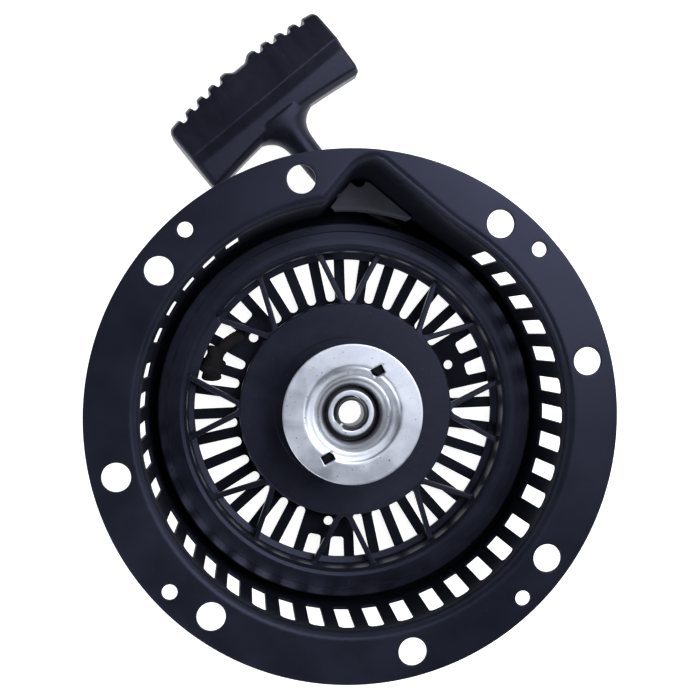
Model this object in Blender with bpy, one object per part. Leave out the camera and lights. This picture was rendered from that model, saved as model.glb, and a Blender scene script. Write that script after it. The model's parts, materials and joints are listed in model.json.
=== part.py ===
"""Recoil starter for a small engine: stamped steel housing, plastic reel, two dogs and a T-handle.

The starter lies on its closed face with the engine side up.  Lengths below are millimetres and are
turned into metres as the meshes are made.  Radii are measured from the reel's axis.
"""

import math

import bmesh
import bpy
from mathutils import Matrix, Vector

MM = 0.001
GAP = 0.3

# Facets round the big turned pieces and round the smaller ones
BOWL_FACETS = 60
HUB_FACETS = 40

# Frame: the reel's axis stands at AXIS, which puts the whole object's box centre on the origin.
AXIS = (0.0, -33.5)

# Housing
SHEET = 1.5
FLANGE_TOP = 60.0
FLANGE_RADIUS = 110.0
BIG_HOLE_CIRCLE = 99.7
BIG_HOLE_RADIUS = 5.85
BIG_HOLE_ANGLES = [33.3 + side * 20.0 + 90.0 * k for k in range(4) for side in (-1, 1)]
SMALL_HOLE_CIRCLE = 103.1
SMALL_HOLE_RADIUS = 3.15
SMALL_HOLE_ANGLES = [42.4 + 90.0 * k for k in range(4)]
WALL_RADIUS = 88.2
FLOOR_INSIDE = 5.5
DISH_INSIDE = SHEET
DISH_RADIUS = 45.4
POST_HOLE_RADIUS = 13.3

# Side wall slots: seven groups of five, none beside the rope outlet
WALL_SLOT_GROUPS = (33.0, 141.4, 183.9, 226.9, 267.8, 309.4, 351.5)
WALL_SLOT_PITCH = 8.13
WALL_SLOT_WIDTH = 6.6
WALL_SLOT_BOTTOM = 21.5
WALL_SLOT_TOP = 52.5

# Floor slots: 36 wedges with ribs of even width; the two at each pad are short
FLOOR_SLOTS = 36
FLOOR_SLOT_START = 7.0
FLOOR_SLOT_IN = 49.7
FLOOR_SLOT_OUT = 76.0
FLOOR_RIB = 4.8
PAD_ANGLES = (22.0, 142.0, 262.0)
PAD_SLOT_IN = 60.0
PAD_HOLE_CIRCLE = 52.9
PAD_HOLE_RADIUS = 2.1

# Rope outlet nose, in its own axes: ALONG the reel's tangent (141 degrees) and OUT from the reel (51)
NOSE_OUT = math.radians(51.0)
NOSE_ALONG = math.radians(141.0)
NOSE_SIDE = 86.7
NOSE_FLANK = 64.6
NOSE_CORNER = 8.5
NOSE_FLOOR_INSIDE = 7.5
NOSE_DRAFT = 0.9
NOSE_FLARE = 4.0
EYELET_OUT = 74.7
EYELET_Z = 14.5
EYELET_BORE = 3.1
EYELET_NECK = 4.0
EYELET_FLANGE = 5.2

# Guide plate over the rope in the nose
GUIDE_TOP = 22.0
GUIDE_THICK = 1.2
GUIDE_ARC = 91.3

# Reel
ROPE_RADIUS = 2.2
REEL_RIM = 83.9
REEL_GROOVE_BOTTOM = 8.3
REEL_GROOVE_TOP = 17.5
REEL_DRUM = 73.5
REEL_BORE = 71.3
HUB_TOP = 16.0
HUB_BOTTOM = 12.6
HUB_RADIUS = 48.2
BOSS_RADIUS = 27.5
BOSS_TOP = 42.1
POCKET_FLOOR = 34.5
POCKET_RADIUS = 24.7
WELL_RADIUS = 15.2
WELL_FLOOR = 26.0
SPOKE_PAIRS = 8
SPOKE_PHASE = -1.0
SPOKE_WIDTH = 2.6
SPOKE_SPREAD_IN = 1.5
SPOKE_SPREAD_OUT = 14.2
ROPE_POCKET = (144.0, 167.0)
WINDING_IN = 75.75
WINDING_OUT = 79.85
WINDING_LOW = 10.75
WINDING_HIGH = 15.15

# Centre stack
POST_RADIUS = 13.0
POST_NECK_RADIUS = 9.5
POST_BORE = 11.4
POST_SHOULDER = 23.7
POST_TOP = 31.0
PIN_RADIUS = 7.2
PIN_BORE = 5.5
PIN_BOTTOM = 24.0
PIN_TOP = 36.6
PIN_SLIT = 230.0
RETAINER_TOP = 43.7
RETAINER_THICK = 1.2
RETAINER_RADIUS = 30.1
WINDOW_CIRCLE = 21.3
WINDOW_ANGLES = (60.0, 240.0)
WINDOW_TURN = 28.0

# Dogs
DOG_PIVOT_RADIUS = 20.5
DOG_PIVOT_ANGLES = (-5.0, 175.0)
DOG_SWEEP = 67.0
DOG_BOTTOM = 37.4
DOG_TOP = 41.1
DOG_HALF_WIDTH = 2.0

# Rewind spring
SPRING_BOTTOM = 3.9
SPRING_TOP = 11.9
SPRING_STRIP = 0.6
SPRING_TURNS = 8
SPRING_IN = 14.4
SPRING_OUT = 42.8

# Handle, in its own axes: along the pull (129.3 degrees) and across it
PULL_ANGLE = math.radians(129.3)
HANDLE_TIP = 2.6
HANDLE_BACK = 34.0
HANDLE_RIDGE = 50.0
HANDLE_FRONT = 69.6
HANDLE_END_DROP = 4.2
HANDLE_HALF_LENGTH = 42.0
HANDLE_BORE = 2.7
HANDLE_CAVITY = 6.0
HANDLE_CAVITY_START = 46.0
NOTCH_STARTS = (10.0, 17.2, 24.4, 31.6)
NOTCH_WIDTH = 3.3
NOTCH_DEPTH = 3.3


def clear_scene():
    for existing in list(bpy.data.objects):
        bpy.data.objects.remove(existing, do_unlink=True)


def finish_material(name, colour, roughness, metallic):
    """A Principled material with one colour."""
    made = bpy.data.materials.new(name)
    made.use_nodes = True
    shader = made.node_tree.nodes["Principled BSDF"]
    shader.inputs["Base Color"].default_value = (*colour, 1.0)
    shader.inputs["Roughness"].default_value = roughness
    shader.inputs["Metallic"].default_value = metallic
    return made


def polar(radius, degrees, z=0.0):
    turn = math.radians(degrees)
    return (radius * math.cos(turn), radius * math.sin(turn), z)


def arc(centre, radius, start, end, steps):
    """Points along an arc in the plane, angles in degrees."""
    points = []
    for step in range(steps + 1):
        turn = math.radians(start + (end - start) * step / steps)
        points.append((centre[0] + radius * math.cos(turn), centre[1] + radius * math.sin(turn)))
    return points


def nose_point(out, along, z=0.0):
    """A point given in the nose's own axes, as x, y, z from the reel's axis."""
    x = out * math.cos(NOSE_OUT) + along * math.cos(NOSE_ALONG)
    y = out * math.sin(NOSE_OUT) + along * math.sin(NOSE_ALONG)
    return (x, y, z)


EYELET_CENTRE = Vector(nose_point(EYELET_OUT, NOSE_FLANK + SHEET / 2 - 0.8, EYELET_Z))
HANDLE_ROOT = Vector(nose_point(EYELET_OUT + 0.3, NOSE_FLANK + 1.4, EYELET_Z))


def add_lathe(mesh, profile, segments):
    """Turn a closed (radius, z) outline about the axis; a point at radius 0 lies on the axis."""
    rings = []
    for radius, z in profile:
        if radius == 0.0:
            rings.append([mesh.verts.new((0.0, 0.0, z))])
            continue
        turned = [polar(radius, 360.0 * k / segments, z) for k in range(segments)]
        rings.append([mesh.verts.new(point) for point in turned])
    for index, ring in enumerate(rings):
        other = rings[(index + 1) % len(rings)]
        if len(ring) == 1 and len(other) == 1:
            continue
        for k in range(segments):
            corners = [ring[k % len(ring)], ring[(k + 1) % segments % len(ring)]]
            corners += [other[(k + 1) % segments % len(other)], other[k % len(other)]]
            mesh.faces.new(list(dict.fromkeys(corners)))


def add_loft(mesh, rings):
    """Join equal rings of points into one closed solid, with flat caps."""
    made = [[mesh.verts.new(point) for point in ring] for ring in rings]
    count = len(made[0])
    for lower, upper in zip(made, made[1:]):
        for k in range(count):
            mesh.faces.new((lower[k], lower[(k + 1) % count], upper[(k + 1) % count], upper[k]))
    mesh.faces.new(made[0])
    mesh.faces.new(made[-1])


def add_prism(mesh, outline, bottom, top):
    add_loft(mesh, [[(x, y, z) for x, y in outline] for z in (bottom, top)])


def add_sector(mesh, inner, outer, bottom, top, start, end, steps=6):
    outline = arc((0, 0), inner, start, end, steps) + arc((0, 0), outer, end, start, steps)
    add_prism(mesh, outline, bottom, top)


def add_box(mesh, centre, size, degrees=0.0):
    """A box turned about the vertical, given by its centre and its full sizes."""
    place = Matrix.Translation(centre) @ Matrix.Rotation(math.radians(degrees), 4, "Z")
    bmesh.ops.create_cube(mesh, size=1.0, matrix=place @ Matrix.Diagonal((*size, 1.0)))


def add_cylinder(mesh, start, end, radius, end_radius=None, segments=24):
    """A round bar or cone between two points."""
    start = Vector(start)
    end = Vector(end)
    turn = (end - start).to_track_quat("Z", "Y").to_matrix().to_4x4()
    place = Matrix.Translation((start + end) / 2) @ turn
    far = radius if end_radius is None else end_radius
    bmesh.ops.create_cone(mesh, cap_ends=True, segments=segments, radius1=radius, radius2=far,
                          depth=(end - start).length, matrix=place)


def make_object(name, mesh, finish, parent, at=(0.0, 0.0, 0.0)):
    """Close the bmesh into a named object; its points are given from the reel's axis."""
    bmesh.ops.recalc_face_normals(mesh, faces=mesh.faces)
    bmesh.ops.transform(mesh, matrix=Matrix.Scale(MM, 4) @ Matrix.Translation(-Vector(at)), verts=mesh.verts)
    data = bpy.data.meshes.new(name)
    mesh.to_mesh(data)
    mesh.free()
    data.shade_smooth()
    data.set_sharp_from_angle(angle=math.radians(35.0))
    if finish:
        data.materials.append(finish)
    made = bpy.data.objects.new(name, data)
    bpy.context.scene.collection.objects.link(made)
    made.parent = parent
    made.location = Vector(at) * MM
    return made


def make_tool(name, mesh, parent):
    """A hidden solid that only cuts or joins."""
    tool = make_object(name, mesh, None, parent)
    tool.hide_render = True
    tool.display_type = "WIRE"
    return tool


def combine(target, tool, operation):
    change = target.modifiers.new(operation.title(), "BOOLEAN")
    change.operation = operation
    change.solver = "EXACT"
    change.object = tool


def make_tube(name, points, radius, finish, parent, sides=2, at=(0.0, 0.0, 0.0)):
    """A round wire or rope along a list of points."""
    data = bpy.data.curves.new(name, "CURVE")
    data.dimensions = "3D"
    data.bevel_depth = radius * MM
    data.bevel_resolution = sides
    data.use_fill_caps = True
    spline = data.splines.new("POLY")
    spline.points.add(len(points) - 1)
    for slot, point in zip(spline.points, points):
        slot.co = (*((Vector(point) - Vector(at)) * MM), 1.0)
    data.materials.append(finish)
    made = bpy.data.objects.new(name, data)
    bpy.context.scene.collection.objects.link(made)
    made.parent = parent
    made.location = Vector(at) * MM
    return made


def make_empty(name, parent, at):
    made = bpy.data.objects.new(name, None)
    bpy.context.scene.collection.objects.link(made)
    made.parent = parent
    made.location = Vector(at) * MM
    return made


def helix(radius, bottom, top, turns, steps):
    """Points up a coil."""
    count = int(turns * steps)
    return [polar(radius, 360.0 * k / steps, bottom + (top - bottom) * k / count) for k in range(count + 1)]


# Housing ---------------------------------------------------------------------------------------


def bowl_outside():
    """The outside of the pressed bowl and its flange, from the axis out and back."""
    wall = WALL_RADIUS + SHEET
    profile = [(0.0, 0.0), (DISH_RADIUS + 0.6, 0.0), (DISH_RADIUS + 3.4, FLOOR_INSIDE - SHEET)]
    corner = 9.0
    profile += arc((wall - corner, FLOOR_INSIDE - SHEET + corner), corner, -90.0, 0.0, 3)
    profile += [(wall + 0.2, FLANGE_TOP - SHEET - 2.6), (wall + 2.7, FLANGE_TOP - SHEET)]
    profile += [(FLANGE_RADIUS - 0.4, FLANGE_TOP - SHEET), (FLANGE_RADIUS, FLANGE_TOP - SHEET + 0.4)]
    profile += [(FLANGE_RADIUS, FLANGE_TOP - 0.4), (FLANGE_RADIUS - 0.4, FLANGE_TOP), (0.0, FLANGE_TOP)]
    return profile


def bowl_inside():
    """The space inside the bowl, with the rolled edge where the flange turns down."""
    profile = [(0.0, DISH_INSIDE), (DISH_RADIUS, DISH_INSIDE), (DISH_RADIUS + 2.6, FLOOR_INSIDE)]
    corner = 7.5
    profile += arc((WALL_RADIUS - corner, FLOOR_INSIDE + corner), corner, -90.0, 0.0, 3)
    roll = 4.0
    top = arc((WALL_RADIUS + 0.2 + roll, FLANGE_TOP - roll), roll, 180.0, 90.0, 3)
    return profile + top + [(WALL_RADIUS + 0.2 + roll, FLANGE_TOP + 1.0), (0.0, FLANGE_TOP + 1.0)]


def nose_ring(grow, z, corner):
    """The nose's outline, grown by an offset: two straight sides and a round corner between them."""
    side = NOSE_SIDE + grow
    flank = NOSE_FLANK + grow
    round_corner = arc((side - corner, flank - corner), corner, 0.0, 90.0, 5)
    outline = [(52.0, 2.0), (side, 2.0)] + round_corner + [(52.0, flank)]
    return [nose_point(out, along, z) for out, along in outline]


def add_nose(mesh, grow, bottom, top, flare):
    """A nose solid with draft, a rounded floor edge and, inside, the rolled edge at the flange."""
    corner = NOSE_CORNER + grow
    rings = [nose_ring(grow - NOSE_DRAFT - 1.6, bottom, corner - 1.6)]
    rings.append(nose_ring(grow - NOSE_DRAFT, bottom + 1.6, corner))
    roll_steps = 3 if flare else 0
    rings.append(nose_ring(grow, top - flare, corner))
    for step in range(1, roll_steps + 1):
        turn = math.pi / 2 * step / roll_steps
        rings.append(nose_ring(grow + flare * (1 - math.cos(turn)), top - flare * (1 - math.sin(turn)),
                               corner + flare * (1 - math.cos(turn))))
    if flare:
        rings.append(nose_ring(grow + flare, top + 1.0, corner + flare))
    add_loft(mesh, rings)


def floor_slot(degrees, start):
    """A wedge slot between ribs of even width, with round ends."""
    def half_width(radius):
        return (2 * math.pi * radius / FLOOR_SLOTS - FLOOR_RIB) / 2

    inner = half_width(start + 2.0)
    outer = half_width(FLOOR_SLOT_OUT)
    round_in = 2.1 if start == FLOOR_SLOT_IN else 1.2
    outline = [(start + round_in, -inner), (FLOOR_SLOT_OUT - 2.0, -outer), (FLOOR_SLOT_OUT, -outer + 2.0)]
    outline += [(FLOOR_SLOT_OUT, outer - 2.0), (FLOOR_SLOT_OUT - 2.0, outer), (start + round_in, inner)]
    outline += [(start + round_in * 0.3, inner * 0.72), (start, inner * 0.25)]
    outline += [(start, -inner * 0.25), (start + round_in * 0.3, -inner * 0.72)]
    turn = Matrix.Rotation(math.radians(degrees), 2)
    return [turn @ Vector(point) for point in outline]


def housing_cuts():
    """Every opening in the housing as one set of separate solids."""
    mesh = bmesh.new()
    for k in range(FLOOR_SLOTS):
        degrees = FLOOR_SLOT_START + 360.0 / FLOOR_SLOTS * k
        beside_pad = any(abs((degrees - pad + 180) % 360 - 180) < 6 for pad in PAD_ANGLES)
        outline = floor_slot(degrees, PAD_SLOT_IN if beside_pad else FLOOR_SLOT_IN)
        add_prism(mesh, outline, 2.0, 7.2)
    for group in WALL_SLOT_GROUPS:
        for k in range(-2, 3):
            degrees = group + WALL_SLOT_PITCH * k
            middle = (WALL_SLOT_BOTTOM + WALL_SLOT_TOP) / 2
            size = (8.0, WALL_SLOT_WIDTH, WALL_SLOT_TOP - WALL_SLOT_BOTTOM)
            add_box(mesh, polar(WALL_RADIUS, degrees, middle), size, degrees)
    for degrees in BIG_HOLE_ANGLES:
        place = Matrix.Translation(polar(BIG_HOLE_CIRCLE, degrees, FLANGE_TOP))
        bmesh.ops.create_cone(mesh, cap_ends=True, segments=20, radius1=BIG_HOLE_RADIUS,
                              radius2=BIG_HOLE_RADIUS, depth=8.0, matrix=place)
    for degrees in SMALL_HOLE_ANGLES:
        place = Matrix.Translation(polar(SMALL_HOLE_CIRCLE, degrees, FLANGE_TOP))
        bmesh.ops.create_cone(mesh, cap_ends=True, segments=14, radius1=SMALL_HOLE_RADIUS,
                              radius2=SMALL_HOLE_RADIUS, depth=8.0, matrix=place)
    for degrees in PAD_ANGLES:
        place = Matrix.Translation(polar(PAD_HOLE_CIRCLE, degrees, FLOOR_INSIDE))
        bmesh.ops.create_cone(mesh, cap_ends=True, segments=12, radius1=PAD_HOLE_RADIUS,
                              radius2=PAD_HOLE_RADIUS, depth=8.0, matrix=place)
    add_cylinder(mesh, (0, 0, -2), (0, 0, 4), POST_HOLE_RADIUS, segments=32)
    through = Vector((math.cos(NOSE_ALONG), math.sin(NOSE_ALONG), 0.0))
    near, far = EYELET_CENTRE - 5 * through, EYELET_CENTRE + 5 * through
    add_cylinder(mesh, near, far, EYELET_NECK + GAP, segments=20)
    return mesh


def build_housing(finish, root):
    bowl = bmesh.new()
    add_lathe(bowl, bowl_outside(), BOWL_FACETS)
    housing = make_object("housing", bowl, finish, root)
    nose = bmesh.new()
    add_nose(nose, SHEET, NOSE_FLOOR_INSIDE - SHEET, FLANGE_TOP - 0.7, 0.0)
    inside = bmesh.new()
    add_lathe(inside, bowl_inside(), BOWL_FACETS)
    pocket = bmesh.new()
    add_nose(pocket, 0.0, NOSE_FLOOR_INSIDE, FLANGE_TOP, NOSE_FLARE)
    combine(housing, make_tool("nose_tool", nose, root), "UNION")
    combine(housing, make_tool("bowl_tool", inside, root), "DIFFERENCE")
    combine(housing, make_tool("pocket_tool", pocket, root), "DIFFERENCE")
    combine(housing, make_tool("openings_tool", housing_cuts(), root), "DIFFERENCE")


def build_outlet(steel, plate_finish, root):
    """The eyelet that lines the rope hole, and the plate that keeps the rope down in the nose."""
    collar = bmesh.new()
    half = SHEET / 2 + GAP
    back = -half - 0.4
    profile = [(EYELET_BORE, back - 1.6), (EYELET_FLANGE - 0.8, back - 1.6), (EYELET_FLANGE, back - 0.8)]
    profile += [(EYELET_FLANGE, back), (EYELET_NECK, back), (EYELET_NECK, half), (EYELET_FLANGE, half)]
    profile += [(EYELET_FLANGE - 0.5, half + 0.8), (EYELET_BORE, half + 0.8)]
    add_lathe(collar, profile, 24)
    across = Matrix.Rotation(NOSE_ALONG, 4, "Z") @ Matrix.Rotation(math.pi / 2, 4, "Y")
    bmesh.ops.transform(collar, matrix=Matrix.Translation(EYELET_CENTRE) @ across, verts=collar.verts)
    make_object("rope_eyelet", collar, steel, root)

    side = NOSE_SIDE - 1.3
    flank = NOSE_FLANK - 1.3
    first = math.degrees(NOSE_OUT) + math.degrees(math.acos(side / GUIDE_ARC))
    last = math.degrees(NOSE_OUT) + math.degrees(math.asin(flank / GUIDE_ARC))
    notch = arc((side - 2.4, flank - 2.5), 3.0, -180.0, -60.0, 5)
    corner = [(side - 5.4, flank)] + notch + [(side, flank - 6.8)]
    corner = [nose_point(out, along)[:2] for out, along in corner]
    plate = bmesh.new()
    add_prism(plate, arc((0, 0), GUIDE_ARC, first, last, 8) + corner, GUIDE_TOP - GUIDE_THICK, GUIDE_TOP)
    rope_guide = make_object("rope_guide_plate", plate, plate_finish, root)
    lip = bmesh.new()
    bend = [(-3.2, -3.4), (-2.0, -3.4), (-1.4, -1.0), (0.8, -1.0), (0.8, -0.2), (-2.2, -0.6)]
    bend = [(GUIDE_ARC + out, GUIDE_TOP + up) for out, up in bend]
    turns = [first + 1.0 + (last - first - 2.0) * k / 8 for k in range(9)]
    add_loft(lip, [[polar(radius, degrees, z) for radius, z in bend] for degrees in turns])
    combine(rope_guide, make_tool("lip_tool", lip, root), "UNION")


# Reel ------------------------------------------------------------------------------------------


def build_pulley(finish, root):
    hub = bmesh.new()
    bore = POST_RADIUS + 0.4
    profile = [(bore, HUB_BOTTOM), (bore, POST_SHOULDER + GAP), (POST_NECK_RADIUS + 0.4, POST_SHOULDER + GAP)]
    profile += [(POST_NECK_RADIUS + 0.4, WELL_FLOOR), (WELL_RADIUS, WELL_FLOOR), (WELL_RADIUS, POCKET_FLOOR)]
    profile += [(POCKET_RADIUS, POCKET_FLOOR), (POCKET_RADIUS, BOSS_TOP), (BOSS_RADIUS, BOSS_TOP)]
    profile += [(BOSS_RADIUS, HUB_TOP + 1.5), (BOSS_RADIUS + 1.5, HUB_TOP), (HUB_RADIUS - 1.0, HUB_TOP)]
    profile += [(HUB_RADIUS, HUB_TOP - 1.0), (HUB_RADIUS, HUB_BOTTOM), (BOSS_RADIUS - 2.5, HUB_BOTTOM)]
    profile += [(BOSS_RADIUS - 2.5, POCKET_FLOOR - 2.4), (17.6, POCKET_FLOOR - 2.4), (17.6, HUB_BOTTOM)]
    add_lathe(hub, profile, HUB_FACETS)
    pulley = make_object("pulley", hub, finish, root)

    drum = bmesh.new()
    rim = [(REEL_DRUM, REEL_GROOVE_TOP), (REEL_DRUM, REEL_GROOVE_BOTTOM), (82.0, REEL_GROOVE_BOTTOM)]
    rim += [(82.0, 6.9), (68.4, 6.9), (68.4, 8.6), (REEL_BORE, 9.4), (REEL_BORE, 19.8)]
    rim += [(72.3, 21.5), (74.2, 22.1), (76.5, 21.8), (REEL_RIM - 0.6, 19.2), (REEL_RIM, 18.6)]
    rim += [(REEL_RIM, REEL_GROOVE_TOP)]
    add_lathe(drum, rim, BOWL_FACETS)
    combine(pulley, make_tool("drum_tool", drum, root), "UNION")

    spokes = bmesh.new()
    for pair in range(SPOKE_PAIRS):
        for side in (-1, 1):
            start = Vector((HUB_RADIUS - 1.0, side * SPOKE_SPREAD_IN))
            end = Vector((REEL_BORE - 0.3, side * SPOKE_SPREAD_OUT))
            run = (end - start).normalized()
            half = Vector((-run.y, run.x)) * SPOKE_WIDTH / 2
            turn = Matrix.Rotation(math.radians(SPOKE_PHASE + 360.0 / SPOKE_PAIRS * pair), 2)
            outline = [turn @ corner for corner in (start - half, end - half, end + half, start + half)]
            raised = 0.2 if side > 0 else 0.0
            add_prism(spokes, outline, HUB_BOTTOM + 0.2, HUB_TOP - 0.8 + raised)
    combine(pulley, make_tool("spoke_tool", spokes, root), "UNION")

    details = bmesh.new()
    add_sector(details, 68.2, 73.0, 19.6, 21.4, *ROPE_POCKET)
    for degrees in DOG_PIVOT_ANGLES:
        low = polar(DOG_PIVOT_RADIUS, degrees, POCKET_FLOOR - 1.0)
        high = polar(DOG_PIVOT_RADIUS, degrees, DOG_TOP - 0.3)
        add_cylinder(details, low, high, 1.8, segments=12)
    add_sector(details, 43.9, 45.6, 4.6, HUB_BOTTOM + 1.0, 300.0, 306.0, 2)
    combine(pulley, make_tool("detail_tool", details, root), "UNION")

    cuts = bmesh.new()
    for degrees in DOG_PIVOT_ANGLES:
        add_sector(cuts, POCKET_RADIUS - 0.6, BOSS_RADIUS + 1.0, POCKET_FLOOR + 1.2, BOSS_TOP + 1.0,
                   degrees - 9.0, degrees + 83.0, 10)
    add_sector(cuts, 69.9, 75.0, 9.6, 16.9, 149.0, 158.0, 2)
    combine(pulley, make_tool("reel_cuts_tool", cuts, root), "DIFFERENCE")


def build_windings(finish, root):
    """Two rows and two layers of rope, as one turned solid with the rope's ridges."""
    profile = [(REEL_DRUM + GAP, WINDING_HIGH + ROPE_RADIUS - 0.3),
               (REEL_DRUM + GAP, WINDING_LOW - ROPE_RADIUS + 0.3)]
    profile += [(WINDING_IN, WINDING_LOW - ROPE_RADIUS)]
    profile += arc((WINDING_OUT, WINDING_LOW), ROPE_RADIUS, -90.0, 75.0, 3)
    profile += arc((WINDING_OUT, WINDING_HIGH), ROPE_RADIUS, -75.0, 90.0, 3)
    profile += [(WINDING_IN, WINDING_HIGH + ROPE_RADIUS)]
    ring = bmesh.new()
    add_lathe(ring, profile, 48)
    make_object("rope_windings", ring, finish, root)


def build_reel_knot(finish, root):
    """The knot that stops the rope's end in the reel, with its short tail."""
    route = [(-61.9, 14.6, 12.4), (-62.6, 18.6, 13.6), (-60.4, 22.6, 14.6), (-58.6, 26.6, 14.4)]
    route += [(-56.4, 30.6, 13.4), (-53.4, 33.0, 13.0), (-50.0, 34.4, 13.2)]
    make_tube("pulley_knot", route, 3.15, finish, root, sides=2)


def build_rope_run(finish, root):
    """The straight run of rope from the windings through the eyelet to the handle."""
    leave = Vector(nose_point(79.3, 31.5, WINDING_HIGH - 0.1))
    through = EYELET_CENTRE
    pull = Vector((math.cos(PULL_ANGLE), math.sin(PULL_ANGLE), 0.0))
    before = through - 3.0 * (through - leave).normalized()
    points = [leave, (leave + before) / 2, before, through, through + pull * 6.0, through + pull * 24.0,
              through + pull * (HANDLE_CAVITY_START + 2.0)]
    make_tube("rope_run", points, ROPE_RADIUS, finish, root)


# Springs, cover and centre stack -----------------------------------------------------------------


def build_rewind_spring(finish, root):
    """A flat spiral strip; its inner end turns into the post and its outer end into the reel's hook."""
    steps = 24
    count = SPRING_TURNS * steps
    line = [polar(POST_RADIUS - 0.7, 296.0), polar(SPRING_IN - 0.4, 297.0)]
    for k in range(count + 1):
        radius = SPRING_IN + (SPRING_OUT - SPRING_IN) * k / count
        line.append(polar(radius, 304.0 + 360.0 * k / steps))
    strip = bmesh.new()
    rings = []
    for index, point in enumerate(line):
        ahead = Vector(line[min(index + 1, len(line) - 1)]) - Vector(line[max(index - 1, 0)])
        side = Vector((-ahead.y, ahead.x, 0.0)).normalized() * SPRING_STRIP / 2
        here = Vector(point)
        low = Vector((0, 0, SPRING_BOTTOM))
        high = Vector((0, 0, SPRING_TOP))
        rings.append([here - side + low, here + side + low, here + side + high, here - side + high])
    add_loft(strip, rings)
    make_object("rewind_spring", strip, finish, root)


def build_spring_cover(finish, root):
    disc = bmesh.new()
    inner = POST_RADIUS + 0.8
    add_lathe(disc, [(inner, 2.4), (43.6, 2.4), (43.6, 3.2), (inner, 3.2)], HUB_FACETS)
    make_object("spring_cover", disc, finish, root)


def build_centre(post_finish, pin_finish, zinc, root):
    """The hollow post in the housing, the slit pin in it, and the parts stacked under the pin's washer."""
    post = bmesh.new()
    profile = [(POST_BORE, GAP), (POST_RADIUS, GAP), (POST_RADIUS, POST_SHOULDER - 0.5)]
    profile += [(POST_RADIUS - 0.5, POST_SHOULDER)]
    profile += [(POST_NECK_RADIUS, POST_SHOULDER), (POST_NECK_RADIUS, POST_TOP), (PIN_RADIUS + GAP, POST_TOP)]
    profile += [(PIN_RADIUS + GAP, PIN_BOTTOM - GAP), (POST_BORE, PIN_BOTTOM - 2.8)]
    add_lathe(post, profile, 32)
    centre_post = make_object("centre_post", post, post_finish, root)
    notch = bmesh.new()
    add_box(notch, polar(POST_RADIUS, 296.0, (SPRING_BOTTOM + SPRING_TOP) / 2),
            (2.4, 1.8, SPRING_TOP - SPRING_BOTTOM + 0.8), 296.0)
    combine(centre_post, make_tool("post_tool", notch, root), "DIFFERENCE")

    pin = bmesh.new()
    lead = 0.7
    add_lathe(pin, [(PIN_BORE, PIN_BOTTOM), (PIN_RADIUS, PIN_BOTTOM), (PIN_RADIUS, PIN_TOP - lead),
                    (PIN_RADIUS - lead, PIN_TOP), (PIN_BORE, PIN_TOP)], 32)
    centre_pin = make_object("centre_pin", pin, pin_finish, root)
    slit = bmesh.new()
    add_box(slit, polar(PIN_RADIUS - 0.5, PIN_SLIT, (PIN_BOTTOM + PIN_TOP) / 2),
            (5.0, 4.4, PIN_TOP - PIN_BOTTOM + 4.0), PIN_SLIT)
    combine(centre_pin, make_tool("pin_tool", slit, root), "DIFFERENCE")

    key = bmesh.new()
    add_lathe(key, [(7.8, 34.6), (10.1, 34.6), (10.1, 35.8), (7.8, 35.8)], 32)
    key_washer = make_object("key_washer", key, zinc, root)
    tab = bmesh.new()
    add_box(tab, polar(7.2, PIN_SLIT, 35.2), (2.6, 3.7, 1.1), PIN_SLIT)
    combine(key_washer, make_tool("key_tool", tab, root), "UNION")

    friction = bmesh.new()
    add_lathe(friction, [(7.8, 33.4), (11.0, 33.4), (11.0, 34.3), (7.8, 34.3)], 32)
    make_object("friction_washer", friction, zinc, root)


def build_brake_spring(finish, root):
    """The coil under the retainer plate, which presses it up against the friction washer."""
    make_tube("brake_spring", helix(11.1, WELL_FLOOR + 1.1, 31.0, 2.5, 16), 0.7, finish, root)


def build_retainer(finish, root):
    """The pressed plate over the dogs, dished at the centre, with two windows bent down into tabs."""
    top = RETAINER_TOP
    face = [(RETAINER_RADIUS, top), (21.0, top), (19.8, top - 0.6), (16.6, top - 1.0)]
    face += [(14.7, top - 2.4), (13.5, top - 6.0), (13.0, 33.8), (12.2, 33.1), (8.6, 33.1)]
    back = [(8.6, 32.0), (12.6, 32.0), (14.1, 33.3), (14.5, top - 6.4), (15.6, top - 3.6)]
    back += [(17.2, top - 2.2), (20.2, top - 1.8), (21.3, top - RETAINER_THICK)]
    back.append((RETAINER_RADIUS, top - RETAINER_THICK))
    plate = bmesh.new()
    add_lathe(plate, face + back, HUB_FACETS)
    retainer = make_object("retainer_plate", plate, finish, root)
    tabs = bmesh.new()
    windows = bmesh.new()
    for degrees in WINDOW_ANGLES:
        turn = degrees - (60.0 - WINDOW_TURN)
        add_box(windows, polar(WINDOW_CIRCLE, degrees, top - 1.0), (5.4, 3.9, 4.0), turn)
        add_box(tabs, polar(18.3, degrees, top - 3.4), (1.1, 3.2, 4.4), degrees)
    combine(retainer, make_tool("tab_tool", tabs, root), "UNION")
    combine(retainer, make_tool("window_tool", windows, root), "DIFFERENCE")


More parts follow.
